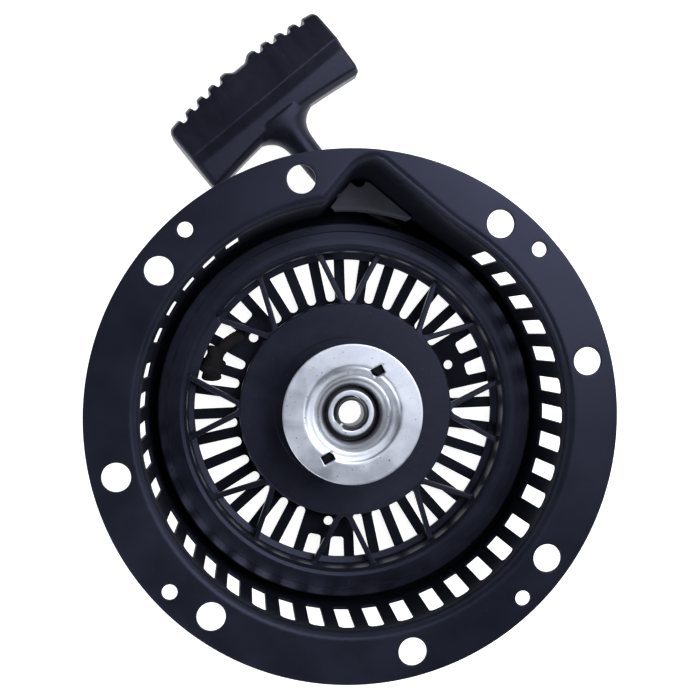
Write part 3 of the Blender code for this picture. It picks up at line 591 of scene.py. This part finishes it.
def bowl_surface(xy, depth):
    """Lay points of the flat pattern on the pressing, at a depth into the sheet."""
    pattern = np.hypot(xy[:, 0], xy[:, 1])
    theta = np.arctan2(xy[:, 1], xy[:, 0])
    here = bowl_point(pattern, theta)
    step = 0.02
    ahead = bowl_point(pattern + step, theta) - bowl_point(pattern - step, theta)
    around = bowl_point(pattern, theta + step / 50) - bowl_point(pattern, theta - step / 50)
    normal = np.cross(around, ahead)
    normal /= np.linalg.norm(normal, axis=-1, keepdims=True)
    return here + normal * depth[:, None]


def pattern_of_height(z, theta):
    """Where a height on the wall is in the flat pattern."""
    _, _, nose = wall_line(theta)
    low = floor_level(nose) + corner_radius(nose)
    return PATTERN_WALL + (PATTERN_ROLL - PATTERN_WALL) * (z - low) / (WALL_TOP - low)


def pattern_xy(pattern, theta):
    return np.stack([pattern * np.cos(theta), pattern * np.sin(theta)], axis=-1)


def floor_slot(degrees, start):
    """A wedge slot between ribs of even width, with a round inner end."""
    def half_width(radius):
        return math.pi * radius / FLOOR_SLOTS - FLOOR_RIB / 2

    def outline(inset):
        low, high = start - inset, 76.0 + inset
        narrow, wide = half_width(low) + inset, half_width(high) + inset
        tip = narrow * 0.97 if start < 55 else 1.5 + inset
        corners = [(low, -narrow, tip), (high, -wide, 1.8), (high, wide, 1.8), (low, narrow, tip)]
        turn = Matrix.Rotation(math.radians(degrees), 2)
        return [turn @ point for point in rounded(corners, 6)]
    return outline


def wall_slot(degrees):
    width, low, high = WALL_SLOT_SIZE

    def outline(inset):
        half = width / 2 + inset
        foot, head = 0.8 + inset, 2.2 + inset
        loop = rounded([(-half, low - inset, foot), (half, low - inset, foot),
                        (half, high + inset, head), (-half, high + inset, head)], 5)
        sides = []
        for (ax, ay), (bx, by) in zip(loop, loop[1:] + loop[:1]):
            steps = max(1, round(math.hypot(bx - ax, by - ay) / 3.5))
            sides += [(ax + (bx - ax) * k / steps, ay + (by - ay) * k / steps) for k in range(steps)]
        across = np.array([p[0] for p in sides])
        height = np.array([p[1] for p in sides])
        theta = math.radians(degrees) + across / WALL_RADIUS
        return pattern_xy(pattern_of_height(height, theta), theta)
    return outline


def flange_hole(radius, degrees, size, count):
    x, y, _ = polar(radius, degrees)
    shift = PATTERN_RIM - FLANGE_RADIUS if radius > WALL_RADIUS else 0.0

    def outline(inset):
        loop = np.array(circle(x, y, size + inset, count))
        reach = np.hypot(loop[:, 0], loop[:, 1])
        return loop * ((reach + shift) / reach)[:, None]
    return outline


def eyelet_hole(inset):
    out, height, size = EYELET
    loop = circle(out, height, size + inset, 32)
    spots = np.array([nose_point(p[0], NOSE_FLANK) for p in loop])
    theta = np.arctan2(spots[:, 1], spots[:, 0])
    return pattern_xy(pattern_of_height(np.array([p[1] for p in loop]), theta), theta)


def bowl_outlines():
    outlines = [lambda inset: circle(0, 0, PATTERN_RIM - inset, 480)]
    outlines.append(lambda inset: circle(0, 0, POST_HOLE + inset, 96))
    for k in range(FLOOR_SLOTS):
        degrees = 7.0 + 10.0 * k
        beside_pad = any(abs((degrees - pad + 180) % 360 - 180) < 6 for pad in PAD_ANGLES)
        outlines.append(floor_slot(degrees, 60.0 if beside_pad else 49.66))
    for group in WALL_SLOT_GROUPS:
        outlines += [wall_slot(group + WALL_SLOT_PITCH * k) for k in range(-2, 3)]
    outlines += [flange_hole(*hole, 64) for hole in BIG_HOLES]
    outlines += [flange_hole(*hole, 40) for hole in SMALL_HOLES + PAD_HOLES]
    outlines.append(eyelet_hole)
    return outlines


def bowl_seeds():
    """Points that carry the pressing's curves, closer together in its bends and in the nose."""
    coarse = [math.radians(a) for a in np.arange(102.0, 416.0, 1.0)]
    fine = [math.radians(a) for a in np.arange(56.0, 102.0, 0.4)]
    angles = np.array(coarse + fine)
    rings = np.concatenate([
        np.linspace(15.0, 43.5, 9), np.linspace(44.6, 48.4, 9), np.linspace(49.2, 77.5, 11),
        np.linspace(78.5, 86.0, 6), np.linspace(87.2, 98.0, 10), np.linspace(100.0, 141.0, 15),
        np.linspace(142.0, 148.4, 9), np.linspace(149.6, PATTERN_RIM - 0.7, 9)])
    return np.vstack([pattern_xy(np.full_like(angles, ring), angles) for ring in rings])


def build_housing():
    shape = stamping(bowl_surface, bowl_outlines(), bowl_seeds(), SHEET, edge=0.3)
    make_piece("housing_shell", shape, ENAMEL, "frame", ["housing"])


build_housing()

# ---------------------------------------------------------------- reel

HUB_TOP = 16.0
HUB_LOW = 12.6
BOSS_IN = 24.7
BOSS_OUT = 27.5
BOSS_TOP = 42.1
SPOKE_PHASE = -1.0
DOG_PIVOTS = (-5.0, 175.0)
DOG_PIVOT_RADIUS = 20.5
BOSS_SWEEP = (83.0, 171.0)
KNOT_POCKET = (144.0, 167.0)


def build_reel():
    shape = Shape()
    shape.lathe(rounded([
        (73.5, 17.5, 0.4), (73.5, 8.3, 0.4), (82.0, 8.3, 0.5), (82.0, 6.9, 0.5), (68.4, 6.9, 0.4),
        (68.4, 8.6, 0.4), (71.3, 9.4, 0.5), (71.3, 19.8, 1.6), (72.5, 21.5, 1.0), (74.2, 22.1, 1.0),
        (76.5, 21.9, 2.0), (79.9, 21.35, 0.5), (80.2, 20.95, 0.3), (83.3, 20.3, 0.5), (83.9, 19.7, 0.3),
        (83.9, 17.5, 0.3)]), 360)
    shape.lathe(rounded([
        (13.5, HUB_LOW, 0.3), (13.5, 24.0, 0.2), (9.9, 24.0, 0.3), (9.9, 26.0, 0.3), (15.2, 26.0, 0.4),
        (15.2, 34.5, 0.6), (BOSS_IN, 34.5, 0.4), (BOSS_IN, 35.7, 0.3), (BOSS_OUT, 35.7, 0.4),
        (BOSS_OUT, 16.2, 1.6), (32.6, 16.2, 0.15), (32.8, HUB_TOP, 0.15), (48.2, HUB_TOP, 0.9),
        (48.2, HUB_LOW, 0.4), (25.0, HUB_LOW, 0.5), (25.0, 32.1, 0.5), (17.6, 32.1, 0.5),
        (17.6, HUB_LOW, 0.4)]), 256)
    for pair in range(8):
        for side in (-1, 1):
            add_spoke(shape, SPOKE_PHASE + 45.0 * pair, side)
    for pivot in DOG_PIVOTS:
        start, end = (pivot + sweep for sweep in BOSS_SWEEP)
        shape.loft([boss_section(a, start, end) for a in np.linspace(start, end, 60)])
        shape.lathe(rounded([(0.5, 34.0, 0), (1.8, 34.0, 0), (1.8, 40.8, 0.3), (0.5, 40.8, 0.2)]), 32,
                    Matrix.Translation(polar(DOG_PIVOT_RADIUS, pivot)))
    shape.loft([web_section(a) for a in np.linspace(*KNOT_POCKET, 24)])
    shape.loft([hook_section(a) for a in np.linspace(300.0, 306.0, 6)])
    add_mark(shape, 41.4, 210.7, 2.3, 0.6)
    add_mark(shape, 38.3, 334.3, 0.9, 1.0)
    make_piece("reel_moulding", shape, REEL_PLASTIC, "reel", ["pulley"], sharp=40)


def add_mark(shape, radius, degrees, size, squash):
    """A faint raised ring left on the hub by a moulding gate or ejector."""
    place = Matrix.Translation(polar(radius, degrees, HUB_TOP)) @ Matrix.Rotation(
        math.radians(degrees), 4, "Z") @ Matrix.Diagonal((squash, 1.0, 1.0, 1.0))
    shape.lathe(rounded([(size - 0.35, -0.3, 0), (size + 0.35, -0.3, 0), (size + 0.3, 0.22, 0.2),
                         (size - 0.3, 0.22, 0.2)]), 48, place)


def add_spoke(shape, degrees, side):
    """One raked arm, flaring where it meets the hub and the drum."""
    start, end = Vector((47.0, side * 1.5)), Vector((71.8, side * 14.3))
    run = (end - start).normalized()
    across = Vector((-run.y, run.x))
    length = (end - start).length
    turn = Matrix.Rotation(math.radians(degrees), 2)
    top = 15.2 + (0.2 if side > 0 else 0.0)
    rings = []
    for s in (0.0, 0.6, 1.2, 1.9, 2.7, 3.6, 6.0, length / 2, length - 6.0, length - 3.6, length - 2.7,
              length - 1.9, length - 1.2, length - 0.6, length):
        close = max(0.0, 1 - min(s, length - s) / 3.6)
        half = 1.3 + 1.4 * close ** 2
        section = rounded([(-half, 12.8, 0.3), (half, 12.8, 0.3), (half - 0.1, top + 0.4 * close ** 2, 0.5),
                           (0.1 - half, top + 0.4 * close ** 2, 0.5)], 3)
        ring = []
        for w, z in section:
            x, y = turn @ (start + run * s + across * w)
            ring.append((x, y, z))
        rings.append(ring)
    shape.loft(rings)


def boss_section(degrees, start, end):
    """The wall round the dogs' pocket, which stands only between the gaps they swing out through."""
    inset = 0.3 * max(0.0, 1 - min(degrees - start, end - degrees) / 1.2)
    inner, outer, top = BOSS_IN + inset, BOSS_OUT - inset, BOSS_TOP - inset
    return [polar(p.x, degrees, p.y)
            for p in rounded([(inner, 35.0, 0.1), (outer, 35.0, 0.1), (outer, top, 0.5), (inner, top, 0.4)])]


def web_section(degrees):
    """The ledge over the knot's pocket, inside the drum."""
    start, end = KNOT_POCKET
    ease = min(1.0, (degrees - start) / 1.5, (end - degrees) / 1.5)
    inner = 72.6 - 4.4 * max(ease, 0.0) ** 0.5
    return [polar(r, degrees, z) for r, z in (
        (inner + 0.4, 19.6), (73.4, 19.6), (73.4, 21.3), (inner + 0.5, 21.3), (inner, 20.9), (inner, 20.0))]


def hook_section(degrees):
    """The lug under the hub that the spring's outer end hooks on."""
    return [polar(r, degrees, z) for r, z in ((43.9, 4.6), (45.6, 4.6), (45.6, 13.0), (43.9, 13.0))]


def build_windings():
    """The rope wound on the drum in two rows, with its braid."""
    shape = Shape()
    for z in (10.75, 15.15):
        line = [polar(79.85, a, z) for a in np.arange(0.0, 359.0, 0.6)]
        shape.tube(line, 2.1, 14, braid_relief)
        line = [polar(77.9, a, z) for a in np.arange(0.0, 359.0, 2.0)]
        shape.tube(line, 2.1, 10)
    make_piece("rope_turns", shape, ROPE, "reel", ["rope_windings"])


def braid_relief(length, turn):
    """The raised strands of a round braid, crossing both ways."""
    one = math.sin(3 * turn + length * 1.9)
    other = math.sin(-3 * turn + length * 1.9)
    return 0.13 * max(one, other) - 0.07


def build_reel_knot():
    """The knotted end of the rope in the reel's pocket, with its cut and frayed tail."""
    shape = Shape()
    body = smooth_path([(-60.6, 14.0, 11.6), (-60.6, 17.6, 13.0), (-59.8, 21.2, 13.9), (-58.9, 24.8, 13.9),
                        (-57.9, 28.2, 13.2)], 14)
    shape.tube(body, 4.2, 26, lambda length, turn: 0.42 * math.sin(2 * turn + length * 0.85)
               + 0.8 * braid_relief(length * 1.1, turn))
    wrap = [Vector(body[20]) + Vector((3.6 * math.cos(t), 1.2 * math.sin(t) * 0.5, 3.1 * math.sin(t)))
            + Vector((0.47, 0.88, 0)) * (t * 0.62 - 2.0) for t in np.linspace(-0.4, 6.4, 60)]
    shape.tube(wrap, 2.0, 14, braid_relief)
    tail = smooth_path([(-58.2, 25.6, 13.6), (-55.6, 28.2, 13.4), (-52.8, 30.6, 12.4), (-49.8, 32.6, 10.8),
                        (-46.6, 34.2, 9.8)], 10)
    shape.tube(tail, 2.7, 20, braid_relief)
    for k in range(46):
        turn, lean = 2.4 * k, 0.35 + 0.65 * ((k * 37) % 46) / 46
        up, side = math.cos(turn) * lean, math.sin(turn) * lean
        root = Vector((-46.9, 34.0, 9.8)) + Vector((0, up, side)) * 1.2
        tip = root + Vector((1.9 - lean, 0.7 + 0.9 * up, 1.1 * side - 0.2))
        bend = (root + tip) / 2 + Vector((0.1 * math.sin(5 * turn), 0.2, 0.15))
        shape.tube(smooth_path([root, bend, tip], 3), 0.11, 5)
    make_piece("rope_end_knot", shape, ROPE, "reel", ["pulley_knot"])


build_reel()
build_windings()
build_reel_knot()

# ---------------------------------------------------------------- centre

RETAINER_RADIUS = 30.1
RETAINER_LINE = ((RETAINER_RADIUS, 43.7, 0), (20.8, 43.7, 0.5), (19.6, 43.1, 0.5), (18.9, 43.05, 0.3),
                 (18.7, 42.95, 0.3), (16.2, 42.75, 2.6), (14.3, 40.9, 3.2), (13.45, 37.4, 2.0),
                 (13.0, 33.8, 0.3), (12.3, 33.1, 0.4), (8.6, 33.1, 0))
WINDOW_CIRCLE = 21.3
WINDOW_ANGLES = (60.0, 240.0)
WINDOW_TURN = 28.0


def retainer_profile():
    return np.array([tuple(p) for p in rounded(RETAINER_LINE, 6)])


def retainer_surface(xy, depth):
    """The dished plate: plane radius is the length along its profile from the rim."""
    line = retainer_profile()
    gone = np.concatenate([[0], np.cumsum(np.hypot(*np.diff(line, axis=0).T))])
    pattern = np.hypot(xy[:, 0], xy[:, 1])
    spent = RETAINER_RADIUS - pattern
    r, z = np.interp(spent, gone, line[:, 0]), np.interp(spent, gone, line[:, 1])
    step = 0.12
    dr = np.interp(spent + step, gone, line[:, 0]) - np.interp(spent - step, gone, line[:, 0])
    dz = np.interp(spent + step, gone, line[:, 1]) - np.interp(spent - step, gone, line[:, 1])
    size = np.maximum(np.hypot(dr, dz), 1e-9)
    r = r + dz / size * depth
    z = z + dr / size * depth
    turn = np.arctan2(xy[:, 1], xy[:, 0])
    return np.stack([r * np.cos(turn), r * np.sin(turn), z], axis=-1)


def window(degrees):
    turn = Matrix.Rotation(math.radians(degrees - 60.0 + WINDOW_TURN), 2)
    middle = Vector(polar(WINDOW_CIRCLE, degrees)[:2])

    def outline(inset):
        a, b, c = 2.7 + inset, 1.95 + inset, 0.5 + inset
        return [middle + turn @ p for p in rounded([(-a, -b, c), (a, -b, c), (a, b, c), (-a, b, c)], 4)]
    return outline


def build_retainer():
    line = retainer_profile()
    hole = RETAINER_RADIUS - sum(math.dist(a, b) for a, b in zip(line, line[1:]))
    outlines = [lambda inset: circle(0, 0, RETAINER_RADIUS - inset, 256),
                lambda inset: circle(0, 0, hole + inset, 64)]
    outlines += [window(a) for a in WINDOW_ANGLES]
    seeds = []
    for ring in np.concatenate([np.linspace(hole + 0.6, 20.2, 44), np.linspace(20.6, 29.4, 14)]):
        count = int(np.clip(ring * 9, 60, 200))
        seeds += circle(0, 0, ring, count)
    shape = stamping(retainer_surface, outlines, seeds, 1.1, edge=0.22, clear=0.3)
    for degrees in WINDOW_ANGLES:
        add_tab(shape, degrees)
    # The plating's neck carries painted shade.
    make_piece("retainer_pressing", shape, ZINC_NECK_SHADED, "retainer", ["retainer_plate"],
               sharp=50)


def add_tab(shape, degrees):
    """The piece sheared from a window and bent down to drive its dog."""
    turn = Matrix.Rotation(math.radians(degrees), 3, "Z")
    rings = []
    for y in (-1.6, -1.45, 1.45, 1.6):
        inset = 0.15 if abs(y) > 1.5 else 0.0
        inner, outer, low = 17.8 + inset, 18.9 - inset, 38.3 + inset
        rings.append([turn @ Vector((x, y, z))
                      for x, z in ((inner, 42.6), (inner, low), (outer, low), (outer, 42.6))])
    shape.loft(rings)


def build_washers():
    """The stamped washer on the pin, with its key pointing inwards, and the friction washer under it."""
    def bore(inset):
        inner, key = 7.6 + inset, 5.95 + inset
        line = []
        for k in range(120):
            degrees = 3.0 * k
            away = abs((degrees - 224.0 + 180) % 360 - 180)
            blend = float(smooth_step(np.array((away - 14.5) / 3.0)))
            line.append(polar(key + (inner - key) * blend, degrees)[:2])
        return line

    seeds = [p for ring in (8.6, 9.3) for p in circle(0, 0, ring, 64)]
    shape = stamping(lambda xy, depth: np.column_stack([xy, 35.8 - depth]),
                     [lambda inset: circle(0, 0, 10.1 - inset, 96), bore], seeds, 1.2, edge=0.28, clear=0.25)
    make_piece("key_washer_stamped", shape, ZINC, "frame", ["key_washer"], sharp=50)
    lower = Shape()
    lower.lathe(rounded([(r, z, 0.25) for r, z in ((7.8, 33.4), (11.0, 33.4), (11.0, 34.3), (7.8, 34.3))], 3),
                128)
    make_piece("friction_ring", lower, DARK_STEEL, "frame", ["friction_washer"])


def build_pin():
    """The slit roll pin, bright at its chamfered edge."""
    shape = Shape()
    section = rounded([(5.5, 24.0, 0.3), (7.2, 24.0, 0.5), (7.2, 36.6, 0.5), (5.5, 36.6, 0.3)], 3)
    angles = np.linspace(230.0 + 5.5, 230.0 + 354.5, 100)
    shape.loft([[polar(r, a, z) for r, z in section] for a in angles])
    make_piece("roll_pin", shape, DARK_STEEL, "frame", ["centre_pin"], sharp=40)


build_retainer()
build_washers()
build_pin()

# ---------------------------------------------------------------- rope outlet

GUIDE_TOP = 22.0
GUIDE_ARC = 91.0
GUIDE_LIP = 86.9
GUIDE_BEND = 1.6


def guide_surface(xy, depth):
    """The guide plate, flat outside its bend and turned down inside it."""
    pattern = np.hypot(xy[:, 0], xy[:, 1])
    theta = np.arctan2(xy[:, 1], xy[:, 0])
    spent = np.clip(GUIDE_ARC - pattern, 0, None)
    turn = np.minimum(spent / GUIDE_BEND, 1.32)
    straight = spent - turn * GUIDE_BEND
    reach = GUIDE_BEND - depth
    r = np.where(spent > 0, GUIDE_ARC - reach * np.sin(turn) - straight * np.cos(turn), pattern)
    z = GUIDE_TOP - GUIDE_BEND + reach * np.cos(turn) - straight * np.sin(turn)
    return np.stack([r * np.cos(theta), r * np.sin(theta), z], axis=-1)


def guide_outline(inset):
    """The plate's edge: two straight sides in the nose, a notched corner and the curved lip."""
    side, flank = NOSE_SIDE - 1.3, NOSE_FLANK - 1.3
    first = NOSE_TURN + math.degrees(math.acos(side / GUIDE_ARC))
    last = NOSE_TURN + math.degrees(math.asin(flank / GUIDE_ARC))
    side, flank = side - inset, flank - inset
    lip = GUIDE_LIP + inset
    corners = [(*polar(GUIDE_ARC, last - 0.3)[:2], 0.6), (*nose_point(side - 5.4, flank)[:2], 0.3)]
    notch = [nose_point(side - 2.4 + (3.0 + inset) * math.cos(a), flank - 2.5 + (3.0 + inset) * math.sin(a))
             for a in np.radians(np.linspace(180.0, 300.0, 13))]
    corners += [(x, y, 0) for x, y, _ in notch]
    corners += [(*nose_point(side, flank - 6.8)[:2], 0.4), (*polar(GUIDE_ARC, first + 0.3)[:2], 0.6)]
    corners += [(*polar(lip, a)[:2], 0) for a in np.linspace(first + 1.5, last - 1.5, 40)]
    return rounded(corners, 4)


def build_guide():
    seeds = []
    for ring in np.concatenate([np.linspace(87.5, 91.2, 9), np.linspace(92.2, 110.0, 16)]):
        seeds += [polar(ring, a)[:2] for a in np.arange(70.0, 97.0, 0.55)]
    shape = stamping(guide_surface, [guide_outline], seeds, 1.2, edge=0.2, clear=0.3)
    make_piece("guide_pressing", shape, MATT_PLATE, "frame", ["rope_guide_plate"], sharp=50)


def build_eyelet():
    out, height, _ = EYELET
    place = Matrix.Translation(nose_point(out, NOSE_FLANK - 0.05, height)) @ Matrix.Rotation(
        math.radians(141.0), 4, "Z") @ Matrix.Rotation(math.pi / 2, 4, "Y")
    shape = Shape()
    half = 1.05
    shape.lathe(rounded([
        (3.1, -half - 2.0, 0.7), (4.4, -half - 2.0, 0.5), (5.2, -half - 1.2, 0.3), (5.2, -half - 0.4, 0.3),
        (4.0, -half - 0.4, 0.2), (4.0, half, 0.2), (5.2, half, 0.3), (4.7, half + 0.8, 0.3),
        (3.1, half + 0.8, 0.5)]), 64, place)
    make_piece("eyelet_collar", shape, DARK_STEEL, "frame", ["rope_eyelet"])


build_guide()
build_eyelet()

# ---------------------------------------------------------------- handle and rope

HANDLE_ROOT = Vector(nose_point(75.0, 66.0, 14.5))
PULL_SIDE = Vector((PULL.y, -PULL.x, 0.0))
HANDLE_MIDDLE = -1.4
HANDLE_HALF = 42.0
HANDLE_LEAN = 0.020
RIDGE_HEIGHT = 11.6
NOTCHES = (11.6, 18.8, 26.0, 33.2)
NOTCH_HALF = 1.65
NOTCH_FLOOR = 3.3
STEM = ((2.6, 5.3), (3.2, 5.8), (9.0, 6.0), (18.0, 6.1), (25.0, 6.4), (29.0, 7.1), (32.0, 8.7), (34.5, 11.6),
        (36.5, 15.6), (41.0, 19.0))


def handle_point(along, across, z=0.0):
    """A point in the handle's axes: along the pull from the rope's end of the stem, and across it."""
    return HANDLE_ROOT + PULL * along + PULL_SIDE * across + Vector((0, 0, z))


def grip_front(across):
    """How far the front edge reaches at a distance across the bar, before its teeth are cut."""
    a = abs(across - HANDLE_MIDDLE)
    return 70.5 - 4.6 * (a / HANDLE_HALF) ** 1.7 - 2.6 * float(smooth_step(np.array((7.2 - a) / 4.6)))


def grip_tooth(across):
    """The front edge's reach with its teeth."""
    a = abs(across - HANDLE_MIDDLE)
    reach = grip_front(across)
    for notch in NOTCHES:
        away = abs(a - notch)
        reach -= NOTCH_FLOOR * float(smooth_step(np.array((NOTCH_HALF + 0.25 - away) / 0.5)))
        if NOTCH_HALF < away < NOTCH_HALF + 1.1:
            reach -= 0.7 * (1 - (away - NOTCH_HALF) / 1.1) ** 2
    return reach


def grip_section(across):
    """The bar's outline: toothed front, flat face up to a ridge, and a hollow running back to the stem."""
    a = abs(across - HANDLE_MIDDLE)
    front, tooth = grip_front(across), grip_tooth(across)
    back = 36.9 - 4.2 * (a / HANDLE_HALF) ** 1.5
    upper = [(back, 4.4, 2.4), (back + 2.2, 7.6, 2.0), (45.5, 9.0, 6.0), (50.0, RIDGE_HEIGHT, 1.2),
             (front - 1.6, 8.9, 1.4), (front, 6.2, 1.6)]
    line = rounded(upper + [(x, -z, r) for x, z, r in reversed(upper)], 5)
    close = max(0.0, 1 - (HANDLE_HALF - a) / 2.4)
    inset = 2.4 * (1 - math.sqrt(max(0.0, 1 - close * close)))
    middle = (front + back) / 2
    half = (front - back) / 2
    lean = HANDLE_LEAN * (across - HANDLE_MIDDLE)
    return [handle_point(middle + (min(x, tooth) - middle) * (1 - inset / half) + lean, across,
                         z * (1 - inset / RIDGE_HEIGHT)) for x, z in line]


def plain(name, shape):
    return add_object(name, new_mesh(name, shape))


def bake(made, kind, **settings):
    """Apply one modifier to an object's mesh."""
    change = made.modifiers.new(kind, kind)
    for key, value in settings.items():
        setattr(change, key, value)
    graph = bpy.context.evaluated_depsgraph_get()
    fresh = bpy.data.meshes.new_from_object(made.evaluated_get(graph))
    made.modifiers.clear()
    made.data = fresh


def build_handle():
    """The T-handle, moulded in one piece: toothed bar, round stem, rope bore and knot cavity."""
    bar = Shape()
    ends = HANDLE_HALF - 2.4 * (1 - np.cos(np.linspace(0.05, math.pi / 2, 9)))
    middle = np.arange(-39.4, 39.5, 0.2)
    stations = np.concatenate([-ends, middle, ends[::-1]])
    bar.loft([grip_section(HANDLE_MIDDLE + a) for a in stations])
    grip = plain("handle_moulding", bar)

    stem = Shape()
    line = smooth_path([(s, w, 0.0) for s, w in STEM], 5)
    rings = []
    for along, wide, _ in line:
        thick = min(5.6 + 3.4 * float(smooth_step(np.array((along - 20.0) / 22.0))), wide)
        turns = [math.tau * k / 64 for k in range(64)]
        rings.append([handle_point(along, wide * math.cos(t) - 0.5 * along / 41.0, thick * math.sin(t))
                      for t in turns])
    stem.loft(rings)
    tools = [(plain("stem", stem), "UNION")]
    for name, ends, size, sides in (("bore", (-2.0, 47.0), 2.7, 32), ("cavity", (46.0, 76.0), 6.0, 48)):
        hole = Shape()
        hole.loft([[handle_point(along, x, y) for x, y in circle(0, 0, size, sides)] for along in ends])
        tools.append((plain(name, hole), "DIFFERENCE"))
    for tool, operation in tools:
        bake(grip, "BOOLEAN", object=tool, operation=operation, solver="EXACT")
        bpy.data.objects.remove(tool)
    bake(grip, "REMESH", mode="VOXEL", voxel_size=0.42 * MM)
    bake(grip, "SMOOTH", factor=0.5, iterations=3)
    finish_piece(grip, GRIP_PLASTIC, "handle", ["handle_grip"])


def build_rope_run():
    """The rope from the reel through the eyelet to its knot in the handle."""
    leave = Vector(nose_point(79.3, 31.5, 15.05))
    through = Vector(nose_point(74.7, 64.55, 14.5))
    before = through - 3.0 * (through - leave).normalized()
    bend = smooth_path([leave, (leave + before) / 2, before, through, through + PULL * 3.0], 12)
    run = [through + PULL * s for s in np.arange(3.2, 49.0, 0.3)]
    shape = Shape()
    shape.tube(bend + run, 2.0, 16, braid_relief)
    rope = plain("rope_line", shape)
    finish_piece(rope, ROPE, None, ["rope_run"])
    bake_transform(rope)


build_handle()
build_rope_run()

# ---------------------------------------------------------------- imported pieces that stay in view

NODE_FINISHES = {
    "centre_post": ZINC, "rewind_spring": SPRING_STEEL, "spring_cover": DARK_STEEL,
    "brake_spring": SPRING_STEEL, "dog_spring_1": SPRING_STEEL, "dog_spring_2": SPRING_STEEL,
    "dog_1": DOG_STEEL, "dog_2": DOG_STEEL, "handle_insert": DARK_STEEL, "handle_knot": ROPE}


def finish_nodes():
    for name, finish in NODE_FINISHES.items():
        for slot in frame["nodes"][name].material_slots:
            slot.material = finish


finish_nodes()

# ---------------------------------------------------------------- floor, camera and light

CAMERA = Vector((-46.85, 35.21, 461.7))
CAMERA_TILT = 0.0184
CAMERA_SWING = 0.1083
LENS = 50.95


def build_stage():
    size = 3.0
    data = bpy.data.meshes.new("floor")
    data.from_pydata([(-size, -size, -0.0005), (size, -size, -0.0005), (size, size, -0.0005),
                      (-size, size, -0.0005)], [], [(0, 1, 2, 3)])
    data.materials.append(floor_white())
    add_object("floor", data)


def build_camera():
    lens = bpy.data.cameras.new("camera")
    lens.lens = LENS
    lens.sensor_width = 36.0
    camera = add_object("camera", lens)
    turn = Matrix.Rotation(CAMERA_TILT, 4, "X") @ Matrix.Rotation(CAMERA_SWING, 4, "Y")
    place = Vector((REEL_AXIS.x, REEL_AXIS.y, 0.0)) + CAMERA * MM
    camera.matrix_world = Matrix.Translation(place) @ turn.transposed()
    bpy.context.scene.camera = camera


def add_light(name, at, size, energy, colour=(1.0, 1.0, 1.0)):
    data = bpy.data.lights.new(name, "AREA")
    data.shape = "RECTANGLE"
    data.size, data.size_y = size
    data.energy = energy
    data.color = colour
    light = add_object(name, data)
    light.location = at
    light.rotation_euler = (Vector((0.0, 0.0, 0.03)) - Vector(at)).to_track_quat("-Z", "Y").to_euler()


def build_lights():
    """A large overhead light to the upper right, a strip in front, and a world pale only near the horizon."""
    add_light("overhead", (0.46, 0.34, 1.0), (0.7, 0.8), 8.0, (0.93, 0.95, 1.0))
    add_light("right_softbox", (1.2, 0.4, 0.7), (0.5, 1.1), 1.0)
    add_light("front_strip", (-0.44, -0.70, 0.85), (0.8, 0.2), 5.0, (0.93, 0.95, 1.0))
    world = bpy.data.worlds.new("studio")
    world.use_nodes = True
    tree = world.node_tree
    tree.nodes["Background"].inputs["Color"].default_value = (1.0, 1.0, 1.0, 1.0)
    split = tree.nodes.new("ShaderNodeSeparateXYZ")
    tree.links.new(tree.nodes.new("ShaderNodeTexCoord").outputs["Generated"], split.inputs[0])
    fade = tree.nodes.new("ShaderNodeMapRange")
    tree.links.new(split.outputs["Z"], fade.inputs["Value"])
    for socket, value in (("From Min", 0.34), ("From Max", 0.56), ("To Min", 0.82), ("To Max", 0.02)):
        fade.inputs[socket].default_value = value
    tree.links.new(fade.outputs["Result"], tree.nodes["Background"].inputs["Strength"])
    bpy.context.scene.world = world
    bpy.context.scene.view_settings.view_transform = "Standard"


build_stage()
build_camera()
build_lights()
